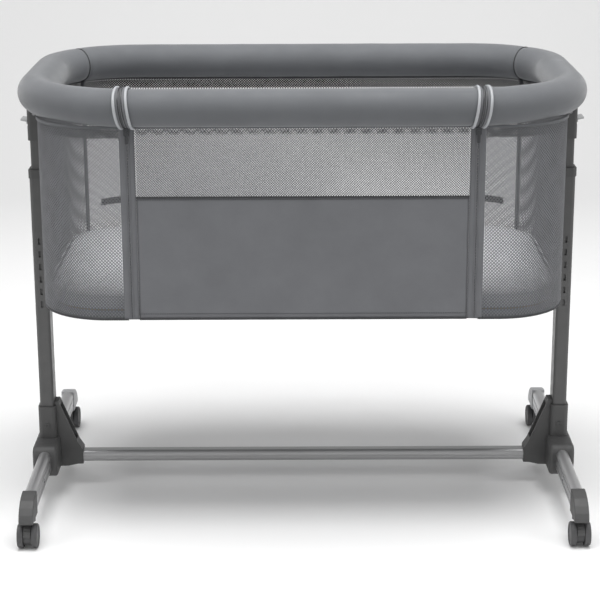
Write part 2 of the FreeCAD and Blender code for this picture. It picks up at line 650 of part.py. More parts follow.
def rail_cradles():
    """The open cups at the ends of the rim tube that the drop rail rests in."""
    cradles = []
    for side in (-1, 1):
        y, z = "-rim_half_depth", "rim_height"
        low, high = mirrored(side, "rail_end - 14", "rail_end + 0.6")
        cup = cylinder("X", (low, y, z), "12", f"{high} - ({low})")
        seat = cylinder("X", (f"{low} - 1", y, z), "9.5", f"{high} - ({low}) + 2")
        mouth = box((f"{low} - 1", f"{high} + 1"), ("-rim_half_depth - 20", "-rim_half_depth"),
                    ("rim_height - 9.5", "rim_height + 9.5"))
        end_low, end_high = mirrored(side, "rail_end + 0.6", "rim_end")
        end_plate = cylinder("X", (end_low, y, z), "12", f"{end_high} - ({end_low})")
        plug_low = mirrored(side, "rim_end", "rim_end + 9")[0]
        plug = cylinder("X", (plug_low, y, z), "6.7", "9")
        cradles.append(fuse(cut(cup, seat, mouth), end_plate, plug))
    return group("rail_cradles", *cradles)


def wall_band(low, high):
    """The whole upright cloth band round the basket between two heights."""
    outer = prism("XY_Plane", "2 * wall_half_length", "2 * wall_half_depth", "wall_corner", f"{high} - ({low})")
    place(outer, z=low)
    inner = prism("XY_Plane", "2 * (wall_half_length - wall_cloth)", "2 * (wall_half_depth - wall_cloth)",
                  "wall_corner - wall_cloth", f"{high} - ({low}) + 2")
    place(inner, z=f"{low} - 1")
    return cut(outer, inner)


def walls():
    low, high = "wall_bottom", "wall_top"
    rear_room = box(("-rear_seam + 0.2", "rear_seam - 0.2"), ("0", "wall_half_depth + 1"), (low, high))
    node(common(wall_band(low, high), rear_room), "rear_wall")
    for side, label in ((-1, "left_end_wall"), (1, "right_end_wall")):
        past_seam = box(mirrored(side, "rear_seam + 0.2", "wall_half_length + 1"),
                        ("-1", "wall_half_depth + 1"), (low, high))
        past_zip = box(mirrored(side, "zip_middle + zip_half + 0.3", "wall_half_length + 1"),
                       ("-wall_half_depth - 1", "0"), (low, high))
        node(common(wall_band(low, high), fuse(past_seam, past_zip)), label)
    tapes = []
    for side in (-1, 1):
        room = box(mirrored(side, "zip_middle + 0.4", "zip_middle + zip_half"), ("-wall_half_depth - 1", "0"),
                   (low, high))
        tapes.append(common(wall_band(low, high), room))
    group("side_zip_tapes", *tapes)


def strap_tabs():
    """Two flat webbing tabs on the outside of the wall, where it starts to turn at the rear corners."""
    tabs = []
    for side in (-1, 1):
        outer = prism("XY_Plane", "2 * (wall_half_length + 2.3)", "2 * (wall_half_depth + 2.3)",
                      "wall_corner + 2.3", "12")
        inner = prism("XY_Plane", "2 * (wall_half_length + 0.3)", "2 * (wall_half_depth + 0.3)",
                      "wall_corner + 0.3", "14")
        band = cut(place(outer, z="439"), place(inner, z="438"))
        tabs.append(common(band, box(mirrored(side, "310", "360"), ("0", "wall_half_depth + 3"), ("439", "451"))))
    return group("rear_strap_tabs", *tabs)


def base():
    node(hoop("ring_half_length", "ring_half_depth", "ring_corner", "wall_bottom + ring_radius", "ring_radius",
              "ring_radius - 1.2"), "base_ring")
    board = prism("XY_Plane", "2 * (ring_half_length - ring_radius)", "2 * (ring_half_depth - ring_radius)",
                  "ring_corner - ring_radius", "board_thickness")
    node(place(board, z="wall_bottom"), "base_board")
    cloth = prism("XY_Plane", "2 * wall_half_length", "2 * (wall_half_depth - wall_cloth - 0.5)",
                  "wall_corner", "floor_cloth")
    node(place(cloth, z="wall_bottom - floor_cloth"), "basket_floor")
    mattress = prism("XY_Plane", "2 * mattress_half_length", "2 * mattress_half_depth", "mattress_corner",
                     "mattress_thickness")
    node(place(mattress, z="wall_bottom + 2 * ring_radius + 0.3"), "mattress")


def drop_side():
    y, z = "-rim_half_depth", "rim_height"
    length = "2 * (rail_end - 0.4)"
    tube = cylinder("X", ("-rail_end + 0.4", y, z), "rim_tube_radius", length)
    hollow = cylinder("X", ("-rail_end - 1", y, z), "rim_tube_radius - rim_wall", "2 * rail_end + 2")
    node(cut(tube, hollow), "drop_rail_tube")
    padding = cylinder("X", ("-zip_middle + 0.3", y, z), "rim_pad_radius", "2 * (zip_middle - 0.3)")
    bore = cylinder("X", ("-zip_middle", y, z), "pad_bore", "2 * zip_middle")
    rooms = []
    for side in (-1, 1):
        rooms.append(box(mirrored(side, "rail_end - 15", "zip_middle"),
                         ("-rim_half_depth - 13", "-rim_half_depth + rim_pad_radius + 1"),
                         ("rim_height - 13", "rim_height + 13.5")))
    node(cut(padding, bore, *rooms), "drop_rail_padding")
    panel_y = ("-wall_half_depth", "-wall_half_depth + wall_cloth")
    panel_x = ("-zip_middle + zip_half + 0.2", "zip_middle - zip_half - 0.2")
    node(box(panel_x, panel_y, ("panel_seam + 0.2", "wall_top")), "drop_mesh_panel")
    node(box(panel_x, panel_y, ("wall_bottom + 0.5", "panel_seam - 0.2")), "drop_fabric_panel")
    tapes = []
    for side in (-1, 1):
        tapes.append(box(mirrored(side, "zip_middle - zip_half", "zip_middle - 0.2"), panel_y,
                         ("wall_bottom + 0.5", "wall_top")))
    group("drop_zip_tapes", *tapes)


def zip_slider(side, label):
    """A slider with its pull hanging in front of the teeth."""
    x = signed(side, "zip_middle")
    block = prism("XZ_Plane", "9", "12", "2.5", "3.2")
    place(block, x, "-wall_half_depth - 0.6", "661")
    pull = prism("XZ_Plane", "5", "20", "2.2", "1.4")
    place(pull, x, "-wall_half_depth - 3.8", "653")
    return node(fuse(block, pull), label)


# ---------------------------------------------------------------- assembly

SIDES = {"left": -1, "right": 1}
ENDS = {"front": -1, "rear": 1}

crossbar()
for hand, side in SIDES.items():
    foot_tube(side, f"{hand}_foot_tube")
    post(side, f"{hand}_post")
    socket(side, f"{hand}_socket")
    collar(side, f"{hand}_collar")
    for place_name, end in ENDS.items():
        foot_cap(side, end, f"{hand}_{place_name}_foot_cap")
        castor(side, end, f"{hand}_{place_name}", braked=end < 0)
    inner_tube(side, f"{hand}_inner_tube")
    head(side, f"{hand}_head")
    lever(side, f"{hand}_release_lever")
    pull_rod(side, f"{hand}_pull_rod")
    latch_pin(side, f"{hand}_latch_pin")
    pin_guide(side, f"{hand}_pin_guide")
    return_spring(side, f"{hand}_return_spring")
    rim_bracket(side, f"{hand}_rim_bracket")
    zip_slider(side, f"{hand}_zip_slider")
socket_screws()
snap_buttons()
rim()
rail_cradles()
walls()
strap_tabs()
base()
drop_side()
doc.recompute()

failed = [f"{o.Name} ({o.Label})" for o in doc.Objects if {"Invalid", "Error"} & set(o.State)]
failed += [o.Label for o in nodes if o.Shape.isNull() or not o.Shape.isValid()]
if failed:
    raise RuntimeError("not built: " + ", ".join(failed))

os.makedirs("parts", exist_ok=True)
for obj in nodes:
    obj.Shape.exportStep(f"parts/{obj.Label}.step")
whole = FreeCAD.BoundBox()
for obj in nodes:
    whole.add(obj.Shape.BoundBox)
print(len(nodes), "sub-parts", f"{whole.XLength:.1f} x {whole.YLength:.1f} x {whole.ZLength:.1f} mm")
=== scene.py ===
"""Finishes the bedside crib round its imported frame: the knitted covers, the net, the zips, the mattress and
every hard part's surface. Metres. X runs along the crib, -Y is the drop side, Z is up."""
import math

import bpy
import bmesh
from mathutils import Matrix, Vector, noise


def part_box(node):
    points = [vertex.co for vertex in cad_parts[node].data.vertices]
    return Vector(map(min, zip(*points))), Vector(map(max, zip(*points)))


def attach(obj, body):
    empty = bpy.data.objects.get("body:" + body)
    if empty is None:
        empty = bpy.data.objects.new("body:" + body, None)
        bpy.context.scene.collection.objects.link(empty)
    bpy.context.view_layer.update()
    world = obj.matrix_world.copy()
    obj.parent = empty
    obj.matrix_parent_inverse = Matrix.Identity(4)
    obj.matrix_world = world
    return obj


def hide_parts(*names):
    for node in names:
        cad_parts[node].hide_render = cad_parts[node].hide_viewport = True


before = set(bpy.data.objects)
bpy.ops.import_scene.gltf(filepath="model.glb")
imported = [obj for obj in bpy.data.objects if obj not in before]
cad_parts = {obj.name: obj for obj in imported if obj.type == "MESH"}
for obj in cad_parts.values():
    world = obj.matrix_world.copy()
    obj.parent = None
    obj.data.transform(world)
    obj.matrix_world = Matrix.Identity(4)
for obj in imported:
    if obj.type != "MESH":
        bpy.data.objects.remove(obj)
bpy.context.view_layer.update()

MM = 0.001
UP = Vector((0, 0, 1))

# ------------------------------------------------------------------ sizes read from the frame

rim_low, rim_high = (Vector(c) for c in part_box("rim_padding"))
PAD_RADIUS = (rim_high.z - rim_low.z) / 2
RIM_Z = (rim_high.z + rim_low.z) / 2
# Half length, half depth, front corner, rear corner.
RIM = (rim_high.x - PAD_RADIUS + 1 * MM, rim_high.y - PAD_RADIUS, 178 * MM, 140 * MM)
wall_low, wall_high = (Vector(c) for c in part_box("right_end_wall"))
WALL = (wall_high.x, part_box("rear_wall")[1][1], 112 * MM, 112 * MM)
WALL_BOTTOM, WALL_TOP = wall_low.z, wall_high.z
REAR_SEAM_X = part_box("rear_wall")[1][0]
ZIP_EDGE = Vector(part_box("side_zip_tapes")[1]).x     # where the net meets the zip's outer tape
ZIP_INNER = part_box("drop_mesh_panel")[1][0]         # where the drop side's cloth meets its tape
ZIP_X = (ZIP_EDGE + ZIP_INNER) / 2
PANEL_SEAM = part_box("drop_mesh_panel")[0][2]
MATTRESS_LOW, MATTRESS_HIGH = (Vector(c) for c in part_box("mattress"))
FRONT_Y = -WALL[1]


# ------------------------------------------------------------------ small helpers


def linear(code):
    """A surface colour written as sRGB hex, turned to the linear numbers a shader takes."""
    parts = [int(code[i:i + 2], 16) / 255 for i in (1, 3, 5)]
    return (*[c / 12.92 if c <= 0.04045 else ((c + 0.055) / 1.055) ** 2.4 for c in parts], 1.0)


def add(tree, kind, inputs=None, **settings):
    """Adds a node; an input is either a number or another node's output socket."""
    node = tree.nodes.new(kind)
    for name, value in settings.items():
        setattr(node, name, value)
    for name, value in (inputs or {}).items():
        if isinstance(value, bpy.types.NodeSocket):
            tree.links.new(value, node.inputs[name])
        else:
            node.inputs[name].default_value = value
    return node


def finish_mesh(name, bm, material):
    """Turns a bmesh into a piece of the crib that sits at the origin."""
    mesh = bpy.data.meshes.new(name)
    bm.to_mesh(mesh)
    bm.free()
    for polygon in mesh.polygons:
        polygon.use_smooth = True
    obj = bpy.data.objects.new(name, mesh)
    bpy.context.scene.collection.objects.link(obj)
    mesh.materials.append(material)
    return obj


def along(shape, s):
    """The point and outward direction at a distance s along a rounded rectangle, anticlockwise from the
    middle of its front side."""
    half_x, half_y, front, rear = shape
    side, bends = 2 * half_y - front - rear, (front, rear, rear, front)
    spans = [half_x - front, front * math.pi / 2, side, rear * math.pi / 2, 2 * (half_x - rear),
             rear * math.pi / 2, side, front * math.pi / 2, half_x - front]
    s %= sum(spans)
    start, heading = Vector((0, -half_y, 0)), Vector((1, 0, 0))
    for number, span in enumerate(spans):
        out = Vector((heading.y, -heading.x, 0))
        if number % 2 == 0:
            if s <= span:
                return start + heading * s, out
            start = start + heading * span
        else:
            corner = bends[number // 2]
            turn = min(s, span) / corner
            centre = start - out * corner
            spun = Matrix.Rotation(turn, 3, "Z") @ out
            if s <= span:
                return centre + spun * corner, spun
            start = centre + spun * corner
            heading = Matrix.Rotation(math.pi / 2, 3, "Z") @ heading
        s -= span
    return start, Vector((0, -1, 0))


def loop_length(shape):
    """Once round the outline."""
    half_x, half_y, front, rear = shape
    return 4 * (half_x + half_y) - (4 - math.pi) * (front + rear)


def s_at(shape, x, corner):
    """How far along a side, from its middle, the outline reaches x; the side ends in this corner's radius."""
    flat = shape[0] - corner
    return x if x <= flat else flat + corner * math.asin(min(1, (x - flat) / corner))


def s_at_front(shape, x):
    """The distance along the front side or its corner where the outline reaches x."""
    return s_at(shape, x, shape[2])


def s_at_rear(shape, x):
    """The same on the rear side, for a positive x."""
    return loop_length(shape) / 2 - s_at(shape, x, shape[3])


def path_points(shape, first, last, spacing, z=0.0, out=0.0):
    """Points along the outline between two distances; z may be a function of the distance."""
    count = max(2, round((last - first) / spacing) + 1)
    points = []
    for i in range(count):
        s = first + (last - first) * i / (count - 1)
        spot, away = along(shape, s)
        points.append(spot + away * out + UP * (z(s) if callable(z) else z))
    return points


def tube(bm, points, radius, sides=8, closed=False):
    """A round cord along points, its ends closed."""
    rings, count = [], len(points)
    side = None
    for i, spot in enumerate(points):
        ahead = points[(i + 1) % count] if closed or i < count - 1 else spot
        behind = points[i - 1] if closed or i else spot
        heading = (ahead - behind).normalized()
        if side is None:
            side = heading.orthogonal().normalized()
        side = (side - heading * side.dot(heading)).normalized()
        across = heading.cross(side)
        rings.append([bm.verts.new(spot + (side * math.cos(a) + across * math.sin(a)) * radius)
                      for a in (2 * math.pi * k / sides for k in range(sides))])
    pairs = list(zip(rings, rings[1:])) + ([(rings[-1], rings[0])] if closed else [])
    for here, there in pairs:
        for k in range(sides):
            bm.faces.new((here[k], here[(k + 1) % sides], there[(k + 1) % sides], there[k]))
    if not closed:
        bm.faces.new(rings[0][::-1])
        bm.faces.new(rings[-1])


def ribbon(bm, stations, uv_step=None):
    """A skin over rows of points of the same count, with a UV map in metres."""
    layer = bm.loops.layers.uv.verify()
    rows = [[bm.verts.new(p) for p in row] for row in stations]
    for i, (here, there) in enumerate(zip(rows, rows[1:])):
        for k in range(len(here) - 1):
            face = bm.faces.new((here[k], there[k], there[k + 1], here[k + 1]))
            corners = ((i, k), (i + 1, k), (i + 1, k + 1), (i, k + 1))
            for loop, (a, b) in zip(face.loops, corners):
                loop[layer].uv = (a * uv_step[0], b * uv_step[1]) if uv_step else (a, b)
    return rows


def ride(piece, body, slot, *stands_for):
    """Every piece moves with a body and may stand for plain CAD solids; the slot is not used."""
    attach(piece, body)
    if stands_for:
        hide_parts(*stands_for)
    return piece


# ------------------------------------------------------------------ materials


def shader(name, colour, roughness, metallic=0.0, **plain):
    """A material with its Principled shader and the piece's own coordinates in metres."""
    material = bpy.data.materials.new(name)
    material.use_nodes = True
    tree = material.node_tree
    tree.nodes.clear()
    surface = add(tree, "ShaderNodeBsdfPrincipled", {"Base Color": linear(colour), "Roughness": roughness,
                                                     "Metallic": metallic, **plain})
    add(tree, "ShaderNodeOutputMaterial", {"Surface": surface.outputs[0]})
    return material, tree, surface


def mottle(tree, where, size, low, high, detail=3.0):
    """Soft blotches of a size in metres, as a number between low and high."""
    blotch = add(tree, "ShaderNodeTexNoise", {"Vector": where, "Scale": 1 / size, "Detail": detail})
    return add(tree, "ShaderNodeMapRange", {"Value": blotch.outputs["Fac"], "From Min": 0.3, "From Max": 0.7,
                                            "To Min": low, "To Max": high}).outputs[0]


def shade(tree, colour, amount):
    """The colour made lighter or darker by a number round 1."""
    return add(tree, "ShaderNodeVectorMath", {0: linear(colour)[:3], "Scale": amount},
               operation="SCALE").outputs[0]


def threads(tree, where, pitch, axis):
    """Parallel threads, as a number from 0 between them to 1 on top."""
    return add(tree, "ShaderNodeTexWave", {"Vector": where, "Scale": math.pi / 10 / pitch, "Distortion": 0.0},
               wave_type="BANDS", bands_direction=axis, wave_profile="SIN").outputs["Fac"]


def knit_cover():
    """Warp-knitted polyester stretched over foam: smooth, with a faint sheen where it turns away."""
    material, tree, surface = shader("warp_knit_polyester_cover", "#5c5e61", 0.72, **{
        "Sheen Weight": 0.35, "Sheen Roughness": 0.4, "Specular IOR Level": 0.35})
    where = add(tree, "ShaderNodeUVMap").outputs[0]
    spot = add(tree, "ShaderNodeTexCoord").outputs["Object"]
    # The wales are 0.5 mm apart, drawn at 1.3 mm so that they show.
    wales = threads(tree, where, 1.3 * MM, "X")
    courses = threads(tree, where, 1.6 * MM, "Y")
    loops = add(tree, "ShaderNodeMath", {0: wales, 1: courses}, operation="MULTIPLY").outputs[0]
    tone = add(tree, "ShaderNodeMath", {0: mottle(tree, spot, 60 * MM, 0.95, 1.05), 1: add(
        tree, "ShaderNodeMapRange", {"Value": loops, "To Min": 0.94, "To Max": 1.05}).outputs[0]},
        operation="MULTIPLY").outputs[0]
    tree.links.new(shade(tree, "#5c5e61", tone), surface.inputs["Base Color"])
    tree.links.new(mottle(tree, spot, 25 * MM, 0.66, 0.8), surface.inputs["Roughness"])
    bump = add(tree, "ShaderNodeBump", {"Height": loops, "Strength": 0.35, "Distance": 0.3 * MM})
    tree.links.new(bump.outputs[0], surface.inputs["Normal"])
    return material


def plain_weave(name, colour, pitch=1.1, rough=0.85, strength=0.4):
    """Plain-woven polyester: two sets of threads crossing, matt."""
    material, tree, surface = shader(name, colour, rough, **{"Sheen Weight": 0.15, "Specular IOR Level": 0.25})
    where = add(tree, "ShaderNodeUVMap").outputs[0]
    spot = add(tree, "ShaderNodeTexCoord").outputs["Object"]
    # The threads are 0.4 mm apart, drawn about 1 mm apart so that they show.
    warp = threads(tree, where, pitch * MM, "X")
    weft = threads(tree, where, pitch * MM, "Y")
    cloth = add(tree, "ShaderNodeMath", {0: warp, 1: weft}, operation="MAXIMUM").outputs[0]
    tone = add(tree, "ShaderNodeMath", {0: mottle(tree, spot, 45 * MM, 0.95, 1.05), 1: add(
        tree, "ShaderNodeMapRange", {"Value": cloth, "To Min": 0.88, "To Max": 1.05}).outputs[0]},
        operation="MULTIPLY").outputs[0]
    tree.links.new(shade(tree, colour, tone), surface.inputs["Base Color"])
    tree.links.new(mottle(tree, spot, 12 * MM, rough - 0.06, rough + 0.06), surface.inputs["Roughness"])
    bump = add(tree, "ShaderNodeBump", {"Height": cloth, "Strength": strength, "Distance": 0.25 * MM})
    tree.links.new(bump.outputs[0], surface.inputs["Normal"])
    return material


def grained(name, colour, rough, metallic=0.0, grain=0.8, strength=0.2, spread=0.06, stretch=(1, 1, 1),
            **plain):
    """A hard surface: fine grain in its relief, slow changes in its colour and gloss."""
    material, tree, surface = shader(name, colour, rough, metallic, **plain)
    spot = add(tree, "ShaderNodeTexCoord").outputs["Object"]
    lined = add(tree, "ShaderNodeMapping", {"Vector": spot, "Scale": stretch}).outputs[0]
    fine = add(tree, "ShaderNodeTexNoise", {"Vector": lined, "Scale": 1 / (grain * MM), "Detail": 2.0})
    tree.links.new(shade(tree, colour, mottle(tree, lined, 18 * MM, 1 - spread, 1 + spread)),
                   surface.inputs["Base Color"])
    tree.links.new(mottle(tree, lined, 9 * MM, rough - 0.06, rough + 0.08), surface.inputs["Roughness"])
    bump = add(tree, "ShaderNodeBump", {"Height": fine.outputs["Fac"], "Strength": strength,
                                        "Distance": 0.12 * MM})
    tree.links.new(bump.outputs[0], surface.inputs["Normal"])
    return material


COVER = knit_cover()
# Woven cloth in one mid grey; the tapes show a coarser rib, the webbing a thick one with a dull shine.
PANEL = plain_weave("plain_woven_polyester_panel", "#66676a")
FLOOR_CLOTH = plain_weave("plain_woven_polyester_floor", "#5a5b5d")
TAPE = plain_weave("woven_zip_tape", "#66676a", pitch=1.4, strength=0.6)
TAPE_DARK = plain_weave("woven_zip_tape_shade", "#3a3b3d", pitch=1.4, strength=0.6)
BINDING = plain_weave("woven_binding_tape", "#3e3f42", pitch=1.2, strength=0.5)
WEBBING = plain_weave("polypropylene_webbing_black", "#141415", pitch=2.0, rough=0.6, strength=0.8)
# Brushed cotton: pale and quite matt.
MATTRESS = plain_weave("brushed_cotton_mattress_cover", "#c2c3c6", pitch=1.6, rough=0.9, strength=0.3)
# Monofilament net: thin round threads with a slight gloss.
NET = grained("polyester_monofilament_net", "#6a6b6e", 0.55, grain=2.0, spread=0.1)
# Satin-covered cord: pale, with a soft shine along it.
PIPING = grained("satin_piping_cord", "#9b9da0", 0.5, grain=1.2, strength=0.3)
# Sewing thread, twisted: a little darker than the cloth it holds. The same dark thread, laid thick in the rim's
# seam grooves, is painted shade there.
THREAD_AND_GROOVE_SHADE = grained("polyester_sewing_thread_and_groove_shade", "#2f3031", 0.6, grain=0.6, strength=0.4)
# Moulded acetal: black, with small bright edges.
TEETH = grained("acetal_zip_teeth_black", "#27282a", 0.4, grain=0.6)
# Die-cast zinc, nickel-plated: bright, with soft reflections.
NICKEL = grained("nickel_plated_zinc", "#9a9b9c", 0.3, 1.0, grain=1.0, strength=0.1)
# The zip's slider, plated nearly black.
GUNMETAL = grained("black_nickel_plated_zinc", "#4a4b4d", 0.32, 0.9, grain=1.0, strength=0.1)
# Powder-coated steel tube: even grey film with a light orange peel.
POWDER = grained("powder_coated_steel_grey", "#4c4c4c", 0.36, grain=1.6, strength=0.12)
# Moulded nylon: matt, from a spark-eroded mould.
NYLON = grained("moulded_nylon_charcoal", "#474747", 0.55, grain=0.9, strength=0.35)
# The rear ends are closed by the same nylon, drawn in a light silver grey: painted light where they face the
# lamp above.
NYLON_PAINTED_LIT = grained("moulded_nylon_painted_lit", "#a3a4a6", 0.42, grain=0.9, strength=0.2)
NYLON_WHEEL = grained("moulded_nylon_castor", "#454546", 0.5, grain=0.9, strength=0.25)
# Moulded ABS: pale grey, a little smoother than the nylon round it.
LEVER_GREY = grained("moulded_abs_light_grey", "#b5b6b7", 0.4, grain=0.9, strength=0.2)
# Anodised aluminium, drawn through a die: long streaks along the bar.
ALUMINIUM_Y = grained("drawn_anodised_aluminium_foot", "#b9b9ba", 0.36, 0.8, 1.2, 0.15, stretch=(1, 0.03, 1))
ALUMINIUM_X = grained("drawn_anodised_aluminium_bar", "#a6a6a7", 0.4, 0.75, 1.2, 0.15, stretch=(0.03, 1, 1))
# Zinc plating: bright and slightly cloudy. The ring round the board is powder-coated in a paler grey.
STEEL = grained("zinc_plated_steel", "#9a9b9c", 0.35, 1.0, 1.2, 0.2)
RING_GREY = grained("powder_coated_steel_light", "#98999b", 0.45, grain=1.6, strength=0.1)
# The same net in black, put just below the padding as painted shade, and a fibre board, brown and flecked,
# under the mattress.
NET_PAINTED_SHADE = grained("polyester_net_painted_shade", "#232324", 0.55, grain=2.0, spread=0.1)
BOARD = grained("pressed_wood_fibre_board", "#8f7c62", 0.8, grain=1.5, strength=0.4, spread=0.12)

CAD_FINISH = {
    "crossbar": ALUMINIUM_X, "foot_tube": ALUMINIUM_Y, "post": POWDER, "inner_tube": POWDER, "collar": NYLON,
    # The rear foot caps take the lighter copy of the nylon: painted light from above.
    "socket": NYLON, "rear_foot_cap": NYLON_PAINTED_LIT, "foot_cap": NYLON, "castor_housing": NYLON_WHEEL,
    "castor_wheels": NYLON_WHEEL, "brake_pedal": NYLON, "head": NYLON, "pin_guide": NYLON,
    "release_lever": LEVER_GREY, "pull_rod": STEEL, "latch_pin": NYLON, "return_spring": STEEL,
    "rim_bracket": STEEL, "rail_cradles": NYLON, "socket_screws": NYLON, "foot_snap_buttons": NICKEL,
    "rim_tube": STEEL, "drop_rail_tube": STEEL, "base_ring": RING_GREY, "base_board": BOARD,
    "zip_slider": GUNMETAL,
}


def finish_hard_parts():
    """Gives each CAD part that stays in view its real surface; the first ending that fits counts."""
    for name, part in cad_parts.items():
        finish = next((m for ending, m in CAD_FINISH.items() if name.endswith(ending)), None)
        if finish:
            for place in part.material_slots:
                place.link = "OBJECT"
                place.material = finish


# ------------------------------------------------------------------ repeats, made with Geometry Nodes


def new_tree(name, sizes):
    """An empty geometry tree with named inputs and one geometry output."""
    tree = bpy.data.node_groups.new(name, "GeometryNodeTree")
    for label, kind in sizes.items():
        tree.interface.new_socket(label, in_out="INPUT", socket_type=kind)
    tree.interface.new_socket("Geometry", in_out="OUTPUT", socket_type="NodeSocketGeometry")
    return tree, add(tree, "NodeGroupInput").outputs


def bake_tree(name, tree, values):
    """Runs a tree with its inputs set and keeps the result as a plain mesh."""
    holder = bpy.data.objects.new(name + "_maker", bpy.data.meshes.new(name + "_maker"))
    bpy.context.scene.collection.objects.link(holder)
    modifier = holder.modifiers.new("made", "NODES")
    modifier.node_group = tree
    for item in tree.interface.items_tree:
        if item.in_out == "INPUT" and item.name in values:
            modifier[item.identifier] = values[item.name]
    depsgraph = bpy.context.evaluated_depsgraph_get()
    mesh = bpy.data.meshes.new_from_object(holder.evaluated_get(depsgraph))
    mesh.name = name
    maker_mesh = holder.data
    bpy.data.objects.remove(holder)
    bpy.data.meshes.remove(maker_mesh)
    piece = bpy.data.objects.new(name, mesh)
    bpy.context.scene.collection.objects.link(piece)
    return piece


def guide_line(name, points, closed=False):
    """A string of points that a tree follows; removed once its piece is made."""
    mesh = bpy.data.meshes.new(name)
    edges = [(i, i + 1) for i in range(len(points) - 1)] + ([(len(points) - 1, 0)] if closed else [])
    mesh.from_pydata([tuple(p) for p in points], edges, [])
    obj = bpy.data.objects.new(name, mesh)
    bpy.context.scene.collection.objects.link(obj)
    return obj


def drop_guides(*guides):
    """Takes the guide lines out of the scene again."""
    for guide in guides:
        mesh = guide.data
        bpy.data.objects.remove(guide)
        bpy.data.meshes.remove(mesh)


def net_tree(name, deep):
    """Diamond net: one open four-sided mesh, repeated in two staggered grids over a unit square, which is
    then laid between a lower and an upper line. A deep net's threads also have sides, so that it closes up
    when seen along the wall."""
    tree, size = new_tree(name, {
        "Lower line": "NodeSocketObject", "Upper line": "NodeSocketObject", "Meshes across": "NodeSocketInt",
        "Meshes up": "NodeSocketInt", "Thread share": "NodeSocketFloat", "Thread depth": "NodeSocketFloat",
        "Material": "NodeSocketMaterial"})

    def math_node(operation, a, b):
        return add(tree, "ShaderNodeMath", {0: a, 1: b}, operation=operation).outputs[0]

    across, up = size["Meshes across"], size["Meshes up"]
    diamond = add(tree, "GeometryNodeMeshCircle", {"Vertices": 4, "Radius": 0.5}, fill_type="NGON")
    doubled = add(tree, "GeometryNodeExtrudeMesh", {"Mesh": diamond.outputs[0], "Offset Scale": 0.0})
    hole = add(tree, "GeometryNodeScaleElements", {
        "Geometry": doubled.outputs["Mesh"], "Selection": doubled.outputs["Top"],
        "Scale": math_node("SUBTRACT", 1.0, size["Thread share"])})
    last, middle = hole.outputs[0], doubled.outputs["Top"]
    if deep:
        sides = add(tree, "GeometryNodeExtrudeMesh", {"Mesh": last, "Selection": middle, "Offset Scale": -1.0})
        last, middle = sides.outputs["Mesh"], sides.outputs["Top"]
    opened = add(tree, "GeometryNodeDeleteGeometry", {"Geometry": last, "Selection": middle}, domain="FACE")
    step_x, step_y = math_node("DIVIDE", 1.0, across), math_node("DIVIDE", 1.0, up)
    cell_size = add(tree, "ShaderNodeCombineXYZ", {"X": step_x, "Y": step_y, "Z": 1.0}).outputs[0]
    cell = add(tree, "GeometryNodeTransform", {"Geometry": opened.outputs[0], "Scale": cell_size}).outputs[0]
    layers = []
    for missing in (0, 1):
        grid = add(tree, "GeometryNodeMeshGrid", {
            "Size X": math_node("SUBTRACT", 1.0, math_node("MULTIPLY", step_x, 1.0 + missing)),
            "Size Y": math_node("SUBTRACT", 1.0, math_node("MULTIPLY", step_y, 1.0 + missing)),
            "Vertices X": math_node("SUBTRACT", across, missing),
            "Vertices Y": math_node("SUBTRACT", up, missing)})
        layers.append(add(tree, "GeometryNodeInstanceOnPoints", {
            "Points": grid.outputs["Mesh"], "Instance": cell}).outputs[0])
    both = add(tree, "GeometryNodeJoinGeometry")
    for layer in layers:
        tree.links.new(layer, both.inputs[0])
    real = add(tree, "GeometryNodeRealizeInstances", {"Geometry": both.outputs[0]})
    welded = add(tree, "GeometryNodeMergeByDistance", {"Geometry": real.outputs[0], "Distance": 1e-5})
    place = add(tree, "ShaderNodeSeparateXYZ", {"Vector": add(tree, "GeometryNodeInputPosition").outputs[0]})
    share = math_node("ADD", place.outputs["X"], 0.5)
    height = math_node("ADD", place.outputs["Y"], 0.5)
    edges = []
    for label in ("Lower line", "Upper line"):
        held = add(tree, "GeometryNodeObjectInfo", {"Object": size[label]})
        line = add(tree, "GeometryNodeMeshToCurve", {"Mesh": held.outputs["Geometry"]})
        edges.append(add(tree, "GeometryNodeSampleCurve", {"Curves": line.outputs[0], "Factor": share},
                         mode="FACTOR").outputs)
    between = add(tree, "ShaderNodeMix", {"Factor": height}, data_type="VECTOR")
    tree.links.new(edges[0]["Position"], between.inputs[4])
    tree.links.new(edges[1]["Position"], between.inputs[5])
    outward = add(tree, "ShaderNodeVectorMath", {0: edges[0]["Tangent"], 1: (0, 0, 1)},
                  operation="CROSS_PRODUCT").outputs[0]
    inset = add(tree, "ShaderNodeVectorMath", {
        0: outward, "Scale": math_node("MULTIPLY", place.outputs["Z"], size["Thread depth"])},
        operation="SCALE").outputs[0]
    spot = add(tree, "ShaderNodeVectorMath", {0: between.outputs[1], 1: inset}, operation="ADD").outputs[0]
    laid = add(tree, "GeometryNodeSetPosition", {"Geometry": welded.outputs[0], "Position": spot})
    dressed = add(tree, "GeometryNodeSetMaterial", {"Geometry": laid.outputs[0],
                                                    "Material": size["Material"]})
    add(tree, "NodeGroupOutput", {"Geometry": dressed.outputs[0]})
    return tree


